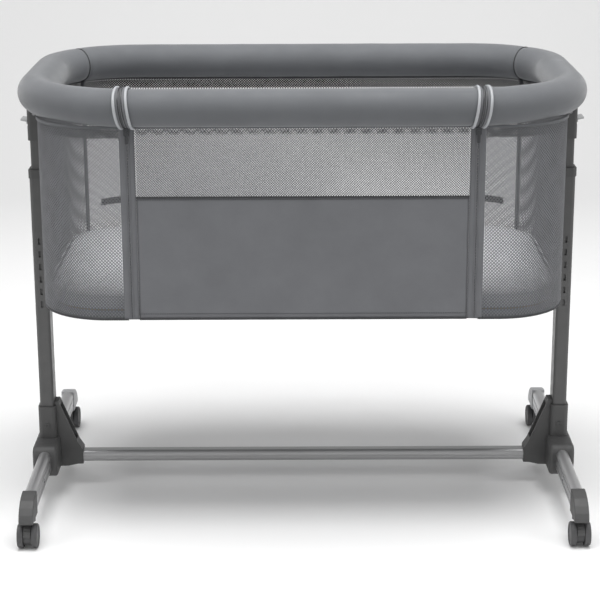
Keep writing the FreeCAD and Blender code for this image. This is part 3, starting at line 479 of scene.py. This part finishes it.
def row_tree():
    """The same small block over and over along a line: stitches, or the teeth of a zip."""
    tree, size = new_tree("row_of_blocks", {
        "Line": "NodeSocketObject", "Pitch": "NodeSocketFloat", "Block": "NodeSocketVector",
        "Sideways": "NodeSocketVector", "Material": "NodeSocketMaterial"})
    held = add(tree, "GeometryNodeObjectInfo", {"Object": size["Line"]})
    line = add(tree, "GeometryNodeMeshToCurve", {"Mesh": held.outputs["Geometry"]})
    points = add(tree, "GeometryNodeCurveToPoints", {"Curve": line.outputs[0], "Length": size["Pitch"]},
                 mode="LENGTH")
    block = add(tree, "GeometryNodeMeshCube", {"Size": size["Block"]})
    turn = add(tree, "FunctionNodeAxesToRotation", {
        "Primary Axis": points.outputs["Tangent"], "Secondary Axis": size["Sideways"]},
        primary_axis="X", secondary_axis="Y")
    rows = add(tree, "GeometryNodeInstanceOnPoints", {
        "Points": points.outputs[0], "Instance": block.outputs[0], "Rotation": turn.outputs[0]})
    real = add(tree, "GeometryNodeRealizeInstances", {"Geometry": rows.outputs[0]})
    dressed = add(tree, "GeometryNodeSetMaterial", {"Geometry": real.outputs[0], "Material": size["Material"]})
    add(tree, "NodeGroupOutput", {"Geometry": dressed.outputs[0]})
    return tree


NET_TREE, DEEP_NET_TREE = net_tree("diamond_net", False), net_tree("deep_diamond_net", True)
ROW_TREE = row_tree()
# One diamond, across and up. The real net's are about 3.4 mm; the larger the wall, the coarser it is drawn.
END_MESH, REAR_MESH, DROP_MESH = 5.2 * MM, 4.5 * MM, 3.8 * MM
THREAD_SHARE = 0.29          # of the diamond's half width


def net(name, lower, upper, height, body, *stands_for, mesh=REAR_MESH, depth=0.0, share=THREAD_SHARE,
        material=NET):
    """A net wall between two lines."""
    length = sum((b - a).length for a, b in zip(lower, lower[1:]))
    guides = guide_line(name + "_lower", lower), guide_line(name + "_upper", upper)
    piece = bake_tree(name, DEEP_NET_TREE if depth else NET_TREE, {
        "Lower line": guides[0], "Upper line": guides[1], "Meshes across": round(length / mesh),
        "Meshes up": round(height / mesh), "Thread share": share, "Thread depth": depth,
        "Material": material})
    drop_guides(*guides)
    ride(piece, body, "mesh_fabric", *stands_for)
    # A flat net has only its threads' area; a deep one's sides bring it back to about the cut's.
    return piece


def painted_shade_band(name, lower, body, height=17 * MM, share=0.68):
    """A band of black net just below the padding: painted shade where the padding overhangs the wall."""
    net(name, lower, [p + UP * height for p in lower], height, body, share=share, material=NET_PAINTED_SHADE)


def row(name, points, pitch, block, material, body, slot, sideways=(0, 0, 1)):
    """Stitches or zip teeth along points, one block every pitch."""
    guide = guide_line(name + "_line", points)
    piece = bake_tree(name, ROW_TREE, {"Line": guide, "Pitch": pitch, "Block": block, "Sideways": sideways,
                                       "Material": material})
    drop_guides(guide)
    return ride(piece, body, slot)


# ------------------------------------------------------------------ padded rim and rail

AROUND = 48


def zip_plane(turn):
    """Half the length between the zips at an angle round the rail: the zip leans in towards the bottom."""
    return ZIP_X + 1.8 * MM + 3.6 * MM * math.sin(turn)


def padded_bar(name, material, station, count, pinned):
    """A closed stuffed tube over stations; station(i, turn) is a point of its skin."""
    bm = bmesh.new()
    layer = bm.loops.layers.uv.verify()
    rings = [[bm.verts.new(station(i, 2 * math.pi * k / AROUND)) for k in range(AROUND)]
             for i in range(count)]
    step = (rings[1][0].co - rings[0][0].co).length
    for i, (here, there) in enumerate(zip(rings, rings[1:])):
        for k in range(AROUND):
            after = (k + 1) % AROUND
            face = bm.faces.new((here[k], there[k], there[after], here[after]))
            for loop, (a, b) in zip(face.loops, ((i, k), (i + 1, k), (i + 1, k + 1), (i, k + 1))):
                loop[layer].uv = (a * step, b * 2 * math.pi * PAD_RADIUS / AROUND)
    for ring, inwards in ((rings[0], 1), (rings[-1], -1)):
        middle = sum((v.co for v in ring), Vector()) / AROUND
        inner = [bm.verts.new(middle + (v.co - middle) * 0.86) for v in ring]
        for k in range(AROUND):
            after = (k + 1) % AROUND
            corners = (ring[k], ring[after], inner[after], inner[k])
            bm.faces.new(corners if inwards > 0 else corners[::-1])
        bm.faces.new(inner if inwards > 0 else inner[::-1])
    bmesh.ops.recalc_face_normals(bm, faces=bm.faces)
    piece = finish_mesh(name, bm, material)
    group = piece.vertex_groups.new(name="sewn")
    for vertex in piece.data.vertices:
        held = pinned(vertex.co)
        if held > 0:
            group.add([vertex.index], held, "REPLACE")
    return piece


def inflate(piece, pressure, cap, frames=20, stiffness=15.0):
    """Blows a stuffed piece up as cloth, no point further than cap, and keeps the result."""
    before = [v.co.copy() for v in piece.data.vertices]
    cloth = piece.modifiers.new("stuffing", "CLOTH")
    settings = cloth.settings
    settings.quality = 5
    settings.mass = 0.3
    settings.use_pressure = True
    settings.uniform_pressure_force = pressure
    settings.tension_stiffness = settings.compression_stiffness = settings.shear_stiffness = stiffness
    settings.bending_stiffness = 0.5
    settings.effector_weights.gravity = 0
    if "sewn" in piece.vertex_groups:
        settings.vertex_group_mass = "sewn"
    cloth.point_cache.frame_start, cloth.point_cache.frame_end = 1, frames
    scene = bpy.context.scene
    for step in range(1, frames + 1):
        scene.frame_set(step)
    evaluated = piece.evaluated_get(bpy.context.evaluated_depsgraph_get())
    after = [v.co.copy() for v in evaluated.data.vertices]
    piece.modifiers.remove(cloth)
    for vertex, old, new in zip(piece.data.vertices, before, after):
        move = new - old
        if move.length > cap:
            move *= cap / move.length
        vertex.co = old + move
    scene.frame_set(1)
    piece.data.update()


def soften(piece, levels=1):
    """Rounds off a stuffed piece's facets."""
    smooth = piece.modifiers.new("round", "SUBSURF")
    smooth.levels = smooth.render_levels = levels
    return piece


RIM_LENGTH = loop_length(RIM)
REAR_SEAM_S = s_at_rear(RIM, 386 * MM)
SKIN = PAD_RADIUS - 1.2 * MM        # the covers start this size and are blown up to the full one


def sewn_underneath(co):
    """A cover is sewn shut along its underside, where the stuffing can't push it out."""
    return 1.0 if co.z < RIM_Z - SKIN * 0.93 else 0.0


def rim_cover():
    """The stuffed cover round three sides of the rim, from zip to zip, drawn in at its seams and ends."""
    count = 380

    def station(i, turn):
        start = s_at_front(RIM, zip_plane(turn) + 2.5 * MM)
        s = start + (RIM_LENGTH - 2 * start) * i / (count - 1)
        spot, out = along(RIM, s)
        pull = 0.0
        for seam in (REAR_SEAM_S, RIM_LENGTH - REAR_SEAM_S):
            pull += 2.2 * MM * math.exp(-((s - seam) / (4 * MM)) ** 2)
        for end in (start, RIM_LENGTH - start):
            pull += 1.5 * MM * math.exp(-((s - end) / (5 * MM)) ** 2)
        ripple = 0.35 * MM * noise.noise(Vector((s * 22, turn * 1.5, 3.0)))
        radius = SKIN - pull + ripple
        return spot + out * math.cos(turn) * radius + UP * (RIM_Z + math.sin(turn) * radius)

    cover = padded_bar("rim_cover", COVER, station, count, sewn_underneath)
    inflate(cover, 3.0, 1.4 * MM)
    ride(soften(cover), "basket", "cover_fabric", "rim_padding")


def rail_cover():
    """The stuffed cover of the drop side's rail, between the zips."""
    count = 110

    def station(i, turn):
        half = s_at_front(RIM, zip_plane(turn) - 2.5 * MM)
        s = -half + 2 * half * i / (count - 1)
        pull = 1.5 * MM * (math.exp(-((s + half) / (5 * MM)) ** 2) + math.exp(-((s - half) / (5 * MM)) ** 2))
        radius = SKIN - pull + 0.35 * MM * noise.noise(Vector((s * 22, turn * 1.5, 9.0)))
        spot, out = along(RIM, s)
        return spot + out * math.cos(turn) * radius + UP * (RIM_Z + math.sin(turn) * radius)

    cover = padded_bar("rail_cover", COVER, station, count, sewn_underneath)
    inflate(cover, 3.0, 1.4 * MM)
    ride(soften(cover), "drop_side", "cover_fabric", "drop_rail_padding")


def rim_seams():
    """The sewn joints across the cover at the rear corners, with a thick dark thread cord lying in the groove
    as painted shade.
    """
    for s, hand in ((RIM_LENGTH - REAR_SEAM_S, "left"), (REAR_SEAM_S, "right")):
        spot, out = along(RIM, s)
        radius = PAD_RADIUS - 2.2 * MM
        loop = [spot + out * math.cos(a) * radius + UP * (RIM_Z + math.sin(a) * radius)
                for a in (2 * math.pi * k / 90 for k in range(90))]
        bm = bmesh.new()
        # The dark cord in the groove is painted shade where the seam draws the cover in.
        tube(bm, loop, 0.9 * MM, 6, closed=True)
        bmesh.ops.recalc_face_normals(bm, faces=bm.faces)
        ride(finish_mesh(f"{hand}_rim_seam_thread", bm, THREAD_AND_GROOVE_SHADE), "basket", "cover_fabric")


def zip_ring(side, offset, radius, first=-100, last=280, steps=64):
    """Points round the rail in the zip's leaning plane, from under the front to under the back."""
    points = []
    for i in range(steps + 1):
        turn = math.radians(first + (last - first) * i / steps)
        spot, out = along(RIM, side * s_at_front(RIM, zip_plane(turn) + offset))
        points.append(spot + out * math.cos(turn) * radius + UP * (RIM_Z + math.sin(turn) * radius))
    return points


def rail_zips():
    """The zip goes on over the rail: a cord, a tape and half the teeth on each side of the gap."""
    for side, hand in ((-1, "left"), (1, "right")):
        for body, way in (("drop_side", -1), ("basket", 1)):
            bm = bmesh.new()
            tube(bm, zip_ring(side, way * 8.2 * MM, PAD_RADIUS + 0.6 * MM), 2.4 * MM)
            bmesh.ops.recalc_face_normals(bm, faces=bm.faces)
            ride(finish_mesh(f"{hand}_{body}_zip_cord", bm, PIPING), body, "zip_tape")
            bm = bmesh.new()
            inner = zip_ring(side, way * 0.4 * MM, PAD_RADIUS - 0.2 * MM)
            outer = zip_ring(side, way * 6.2 * MM, PAD_RADIUS + 0.5 * MM)
            ribbon(bm, list(zip(inner, outer)), (5 * MM, 5.8 * MM))
            tape = finish_mesh(f"{hand}_{body}_rail_tape", bm, TAPE)
            thick = tape.modifiers.new("thick", "SOLIDIFY")
            thick.thickness = 0.8 * MM
            ride(tape, body, "zip_tape")
            row(f"{hand}_{body}_rail_teeth", zip_ring(side, way * 2.4 * MM, PAD_RADIUS + 0.9 * MM, steps=160),
                2.2 * MM, (1.8 * MM, 1.6 * MM, 1.2 * MM), TEETH, body, "zip_tape", sideways=(1, 0, 0))


# ------------------------------------------------------------------ walls


def under_rim(s_wall):
    """How high the wall's top edge goes to meet the padding above it."""
    spot, _ = along(WALL, s_wall)
    inside = min(abs((along(RIM, s_wall * RIM_LENGTH / loop_length(WALL))[0] - spot).length), PAD_RADIUS * 0.9)
    return RIM_Z - math.sqrt(PAD_RADIUS ** 2 - inside ** 2) + 1.5 * MM


def walls():
    """The net of the two ends and the rear, with a band of black net under the padding as painted shade."""
    spacing = 6 * MM
    total = loop_length(WALL)
    front_s = s_at_front(WALL, ZIP_EDGE - 1 * MM)
    rear_s = s_at_rear(WALL, REAR_SEAM_X)
    spans = (("right_net", front_s, rear_s, "right_end_wall", END_MESH, 1.2 * MM),
             ("rear_net", rear_s, total - rear_s, "rear_wall", REAR_MESH, 0.0),
             ("left_net", total - rear_s, total - front_s, "left_end_wall", END_MESH, 1.2 * MM))
    for name, first, last, node, mesh, depth in spans:
        lower = path_points(WALL, first, last, spacing, WALL_BOTTOM)
        upper = path_points(WALL, first, last, spacing, under_rim)
        net(name, lower, upper, RIM_Z - PAD_RADIUS - WALL_BOTTOM, "basket", node, mesh=mesh, depth=depth)
        # A band of black net just below the padding: painted shade under the rim.
        painted_shade_band(name + "_backing", path_points(WALL, first, last, spacing, WALL_TOP - 17 * MM, -2 * MM),
                "basket")


def hem_strip(name, points_low, points_high, thickness, material, body, slot, *stands_for):
    """A flat binding between two lines, with a rounded thickness."""
    bm = bmesh.new()
    middle = [a.lerp(b, 0.5) for a, b in zip(points_low, points_high)]
    ribbon(bm, list(zip(points_low, middle, points_high)), (5 * MM, 5 * MM))
    strip = finish_mesh(name, bm, material)
    thick = strip.modifiers.new("thick", "SOLIDIFY")
    thick.thickness = thickness
    thick.offset = 0
    return ride(strip, body, slot, *stands_for)


def bindings():
    """The tapes that bind the net: along the rim, along the floor, and down each seam."""
    total = loop_length(WALL)
    front_s = s_at_front(WALL, ZIP_EDGE - 6 * MM)
    for name, z_low, z_high, out, material in (
            ("rim_hem", WALL_TOP - 1 * MM, WALL_TOP + 3.5 * MM, 1.2 * MM, COVER),
            ("floor_hem", WALL_BOTTOM - 1.2 * MM, WALL_BOTTOM + 1.6 * MM, -0.4 * MM, TAPE_DARK)):
        low = path_points(WALL, front_s, total - front_s, 5 * MM, z_low, out)
        high = path_points(WALL, front_s, total - front_s, 5 * MM, z_high, out)
        hem_strip(name, low, high, 1.6 * MM, material, "basket", "panel_fabric")
        row(name + "_stitches", path_points(WALL, front_s, total - front_s, 5 * MM,
                                            (z_low + z_high) / 2 - 1.2 * MM, out + 0.6 * MM),
            3.6 * MM, (2.6 * MM, 0.5 * MM, 0.5 * MM), THREAD_AND_GROOVE_SHADE, "basket", "zip_tape")
    for side, hand in ((-1, "left"), (1, "right")):
        s_mid = s_at_rear(WALL, REAR_SEAM_X)
        s_mid = s_mid if side > 0 else total - s_mid
        columns = [s_mid - 4 * MM, s_mid, s_mid + 4 * MM]
        bm = bmesh.new()
        rows = []
        for i in range(40):
            z = WALL_BOTTOM + (WALL_TOP + 2 * MM - WALL_BOTTOM) * i / 39
            rows.append([along(WALL, s)[0] - along(WALL, s)[1] * 0.8 * MM + UP * z for s in columns])
        ribbon(bm, rows, (7 * MM, 4 * MM))
        bmesh.ops.recalc_face_normals(bm, faces=bm.faces)
        seam = finish_mesh(f"{hand}_rear_seam", bm, BINDING)
        thick = seam.modifiers.new("thick", "SOLIDIFY")
        thick.thickness = 1.4 * MM
        ride(seam, "basket", "zip_tape")


def upright_tape(name, x_near, x_far, y, body, material, z_low, z_high, *stands_for):
    """One half of a zip's tape, hanging straight down with a slight wave."""
    bm = bmesh.new()
    rows = []
    for i in range(60):
        z = z_low + (z_high - z_low) * i / 59
        wave = 0.25 * MM * noise.noise(Vector((z * 40, x_near * 30, 0)))
        rows.append([Vector((x_near + (x_far - x_near) * k / 4, y + wave, z)) for k in range(5)])
    ribbon(bm, rows, ((z_high - z_low) / 59, abs(x_far - x_near) / 4))
    bmesh.ops.recalc_face_normals(bm, faces=bm.faces)
    tape = finish_mesh(name, bm, material)
    thick = tape.modifiers.new("thick", "SOLIDIFY")
    thick.thickness = 1.2 * MM
    thick.offset = 0
    return ride(tape, body, "zip_tape", *stands_for)


def upright_zips():
    """Down each side of the drop panel: net-side tape, teeth, panel-side tape and a cord at its edge."""
    y = FRONT_Y + 0.6 * MM
    for side, hand in ((-1, "left"), (1, "right")):
        outer = ("side_zip_tapes",) if side > 0 else ()
        inner = ("drop_zip_tapes",) if side > 0 else ()
        upright_tape(f"{hand}_outer_tape", side * (ZIP_X + 0.4 * MM), side * (ZIP_EDGE + 0.6 * MM), y, "basket",
                     TAPE, WALL_BOTTOM, WALL_TOP + 3 * MM, *outer)
        upright_tape(f"{hand}_inner_tape", side * (ZIP_X - 0.4 * MM), side * (ZIP_INNER + 0.2 * MM), y,
                     "drop_side", TAPE, WALL_BOTTOM + 0.6 * MM, WALL_TOP + 3 * MM, *inner)
        for body, way in (("drop_side", -1), ("basket", 1)):
            x = side * (ZIP_X + way * 0.9 * MM)
            line = [Vector((x, y + 1.4 * MM, WALL_BOTTOM + 2 * MM + (WALL_TOP - WALL_BOTTOM) * i / 60))
                    for i in range(61)]
            row(f"{hand}_{body}_teeth", line, 2.4 * MM, (1.9 * MM, 2.0 * MM, 1.4 * MM), TEETH, body,
                "zip_tape", sideways=(1, 0, 0))
        for label, x, body in (("outer", ZIP_X + 3.0 * MM, "basket"), ("inner", ZIP_X - 3.0 * MM, "drop_side"),
                               ("panel", ZIP_INNER + 0.8 * MM, "drop_side")):
            bm = bmesh.new()
            tube(bm, [Vector((side * x, y - 0.8 * MM, WALL_BOTTOM + 1 * MM + (WALL_TOP - WALL_BOTTOM) * i / 30))
                      for i in range(31)], 0.8 * MM, 6)
            bmesh.ops.recalc_face_normals(bm, faces=bm.faces)
            ride(finish_mesh(f"{hand}_{label}_zip_edge", bm, TAPE), body, "zip_tape")


def drop_panel():
    """The woven panel, its hems, and the net strip above it."""
    half = ZIP_INNER
    low, high = WALL_BOTTOM + 0.6 * MM, PANEL_SEAM
    bm = bmesh.new()
    columns, rows_up = 120, 48
    stations = []
    for i in range(columns + 1):
        x = -half + 2 * half * i / columns
        row_points = []
        for k in range(rows_up + 1):
            z = low + (high - low) * k / rows_up
            slack = math.sin(math.pi * k / rows_up) * math.sin(math.pi * i / columns)
            wave = 0.9 * MM * noise.noise(Vector((x * 9, z * 14, 1.7))) * slack
            row_points.append(Vector((x, FRONT_Y + 0.9 * MM + wave, z)))
        stations.append(row_points)
    ribbon(bm, stations, (2 * half / columns, (high - low) / rows_up))
    panel = finish_mesh("drop_panel_cloth", bm, PANEL)
    thick = panel.modifiers.new("thick", "SOLIDIFY")
    thick.thickness = 0.9 * MM
    thick.offset = 0
    ride(panel, "drop_side", "panel_fabric", "drop_fabric_panel")
    straight = [Vector((-half + 2 * half * i / 40, FRONT_Y + 0.6 * MM, 0)) for i in range(41)]
    net("drop_net", [p + UP * (PANEL_SEAM - 2 * MM) for p in straight],
        [p + UP * (RIM_Z - PAD_RADIUS + 1 * MM) for p in straight],
        RIM_Z - PAD_RADIUS - PANEL_SEAM + 3 * MM, "drop_side", "drop_mesh_panel", mesh=DROP_MESH)
    # A band of black net under the rail: painted shade below the padding.
    painted_shade_band("drop_net_backing", [p + Vector((0, 2 * MM, WALL_TOP - 11 * MM)) for p in straight], "drop_side",
            11 * MM, 0.3)
    for name, z_low, z_high, material in (
            ("drop_rail_hem", WALL_TOP - 0.5 * MM, WALL_TOP + 3.5 * MM, COVER),
            ("drop_seam_fold", PANEL_SEAM - 1.6 * MM, PANEL_SEAM + 1.2 * MM, TAPE_DARK),
            ("drop_floor_hem", WALL_BOTTOM - 0.6 * MM, WALL_BOTTOM + 1.8 * MM, TAPE_DARK)):
        front = [p - Vector((0, 1.2 * MM, 0)) for p in straight]
        hem_strip(name, [p + UP * z_low for p in front], [p + UP * z_high for p in front], 1.3 * MM, material,
                  "drop_side", "panel_fabric")
    for name, z in (("drop_top_stitches", PANEL_SEAM - 4 * MM), ("drop_floor_stitches", WALL_BOTTOM + 9 * MM)):
        row(name, [p + Vector((0, -0.5 * MM, z)) for p in straight], 3.6 * MM, (2.6 * MM, 0.5 * MM, 0.4 * MM),
            THREAD_AND_GROOVE_SHADE, "drop_side", "zip_tape")


def strap_tabs():
    """Flat webbing on the rear wall, drooping at its free end."""
    low, high = (Vector(c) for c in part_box("rear_strap_tabs"))
    for side, hand in ((-1, "left"), (1, "right")):
        bm = bmesh.new()
        rows = []
        near = s_at_rear(WALL, 310 * MM)
        far = s_at_rear(WALL, high.x)
        for i in range(17):
            share = i / 16
            s = near + (far - near) * share
            s = s if side > 0 else loop_length(WALL) - s
            spot, out = along(WALL, s)
            droop = -2.5 * MM * share ** 2
            rows.append([spot + out * (1.3 * MM) + UP * (low.z + 4 * MM + droop + (high.z - low.z) * k / 4)
                         for k in range(5)])
        ribbon(bm, rows, (3 * MM, 3 * MM))
        bmesh.ops.recalc_face_normals(bm, faces=bm.faces)
        tab = finish_mesh(f"{hand}_strap_tab", bm, WEBBING)
        thick = tab.modifiers.new("thick", "SOLIDIFY")
        thick.thickness = 1.6 * MM
        ride(tab, "basket", "webbing", *(("rear_strap_tabs",) if side > 0 else ()))


def slab(name, shape, profile, material, spacing=8 * MM):
    """A closed pad over a rounded rectangle; profile is (inset, z) from the bottom's middle outwards."""
    bm = bmesh.new()
    layer = bm.loops.layers.uv.verify()
    count = round(loop_length(shape) / spacing)
    rings = []
    for inset, z in profile:
        smaller = (shape[0] - inset, shape[1] - inset, *(max(4 * MM, bend - inset) for bend in shape[2:]))
        length = loop_length(smaller)
        rings.append([bm.verts.new(along(smaller, length * i / count)[0] + UP * z) for i in range(count)])
    for here, there in zip(rings, rings[1:]):
        for i in range(count):
            after = (i + 1) % count
            bm.faces.new((here[i], here[after], there[after], there[i]))
    bm.faces.new(rings[0][::-1])
    bm.faces.new(rings[-1])
    bmesh.ops.recalc_face_normals(bm, faces=bm.faces)
    for face in bm.faces:
        for loop in face.loops:
            loop[layer].uv = (loop.vert.co.x, loop.vert.co.y)
    return finish_mesh(name, bm, material)


def mattress():
    """The stuffed pad with a flat underside, and the welt round its top and bottom edges."""
    low, high = MATTRESS_LOW.z, MATTRESS_HIGH.z
    shape = (MATTRESS_HIGH.x, MATTRESS_HIGH.y, 105 * MM, 105 * MM)
    swell = 3 * MM
    profile = [(30 * MM, low + 0.4 * MM), (9 * MM, low + 0.6 * MM), (4 * MM, low + 3 * MM)]
    profile += [(swell, low + 8 * MM), (swell, high - 8 * MM)]
    profile += [(4 * MM, high - 4.5 * MM), (9 * MM, high - 2.2 * MM), (30 * MM, high - 1.8 * MM)]
    pad = slab("mattress_cover", shape, profile, MATTRESS)
    grid = pad.modifiers.new("grid", "REMESH")
    grid.mode = "VOXEL"
    grid.voxel_size = 6 * MM
    evaluated = pad.evaluated_get(bpy.context.evaluated_depsgraph_get())
    meshed = bpy.data.meshes.new_from_object(evaluated)
    pad.modifiers.clear()
    pad.data = meshed
    for polygon in pad.data.polygons:
        polygon.use_smooth = True
    floor = low + 1.2 * MM
    group = pad.vertex_groups.new(name="sewn")
    group.add([v.index for v in pad.data.vertices if v.co.z < floor], 1.0, "REPLACE")
    inflate(pad, 2.5, 1.6 * MM, frames=16)
    flat = pad.data.uv_layers.new(name="UVMap") if not pad.data.uv_layers else pad.data.uv_layers[0]
    for loop in pad.data.loops:
        co = pad.data.vertices[loop.vertex_index].co
        flat.data[loop.index].uv = (co.x, co.y)
    ride(soften(pad), "mattress", "mattress_fabric", "mattress")
    for label, z in (("upper", high - 5 * MM), ("lower", low + 5 * MM)):
        bm = bmesh.new()
        length = loop_length(shape)
        tube(bm, [along(shape, length * i / 240)[0] - along(shape, length * i / 240)[1] * 2.4 * MM + UP * z
                  for i in range(240)], 1.3 * MM, 6, closed=True)
        bmesh.ops.recalc_face_normals(bm, faces=bm.faces)
        ride(finish_mesh(f"mattress_{label}_welt", bm, MATTRESS), "mattress", "mattress_fabric")


def floor_cloth():
    """The basket's cloth floor, stretched under the board."""
    low, high = (Vector(c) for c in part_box("basket_floor"))
    shape = (high.x, high.y, *WALL[2:])
    z = (low.z + high.z) / 2
    cloth = slab("basket_floor_cloth", shape, [(60 * MM, z + 0.1 * MM), (2 * MM, z + 0.1 * MM), (0.2 * MM, z),
                                               (2 * MM, z - 0.5 * MM), (60 * MM, z - 0.5 * MM)], FLOOR_CLOTH)
    ride(cloth, "basket", "panel_fabric", "basket_floor")


# ------------------------------------------------------------------ studio


def studio():
    """A pale floor that curves up behind, soft light from above and both sides, and the camera."""
    scene = bpy.context.scene
    scene.view_settings.view_transform = "Standard"
    world = bpy.data.worlds.new("studio")
    scene.world = world
    world.use_nodes = True
    world.node_tree.nodes["Background"].inputs["Color"].default_value = (1, 1, 1, 1)
    world.node_tree.nodes["Background"].inputs["Strength"].default_value = 0.5
    material, tree, surface = shader("studio_floor_paint", "#f4f4f4", 0.9)
    spot = add(tree, "ShaderNodeTexCoord").outputs["Object"]
    tree.links.new(shade(tree, "#f4f4f4", mottle(tree, spot, 0.8, 0.995, 1.005)), surface.inputs["Base Color"])
    bm = bmesh.new()
    rows = []
    for x in (-9, 9):
        row_points = [Vector((x, -7, 0)), Vector((x, 2.2, 0))]
        for i in range(1, 13):
            turn = math.radians(54) * i / 12
            row_points.append(Vector((x, 2.2 + 1.5 * math.sin(turn), 1.5 - 1.5 * math.cos(turn))))
        rows.append(row_points)
    ribbon(bm, rows, (1, 1))
    sweep = finish_mesh("studio_sweep", bm, material)

    def lamp(name, place, target, size, power):
        data = bpy.data.lights.new(name, "AREA")
        data.shape = "RECTANGLE"
        data.size, data.size_y = size
        data.energy = power
        obj = bpy.data.objects.new(name, data)
        obj.location = place
        obj.rotation_euler = (Vector(target) - Vector(place)).to_track_quat("-Z", "Y").to_euler()
        scene.collection.objects.link(obj)

    lamp("overhead_softbox", (0, -0.4, 2.8), (0, 0, 0.4), (2.4, 1.6), 85)
    lamp("left_softbox", (-2.4, -1.6, 1.6), (0, 0, 0.5), (1.2, 1.6), 14)
    lamp("right_softbox", (2.4, -1.6, 1.6), (0, 0, 0.5), (1.2, 1.6), 14)

    data = bpy.data.cameras.new("camera")
    data.sensor_width = 36
    data.lens = 1759 / 600 * 36
    camera = bpy.data.objects.new("camera", data)
    scene.collection.objects.link(camera)
    tilt, roll = math.radians(90 - 16.2), math.radians(-0.22)
    turned = Matrix.Rotation(tilt, 4, "X") @ Matrix.Rotation(roll, 4, "Z")
    camera.matrix_world = Matrix.Translation((-0.0048, -2.855, 1.157)) @ turned
    scene.camera = camera


studio()
finish_hard_parts()
rim_cover()
rail_cover()
rim_seams()
rail_zips()
walls()
bindings()
upright_zips()
drop_panel()
strap_tabs()
mattress()
floor_cloth()
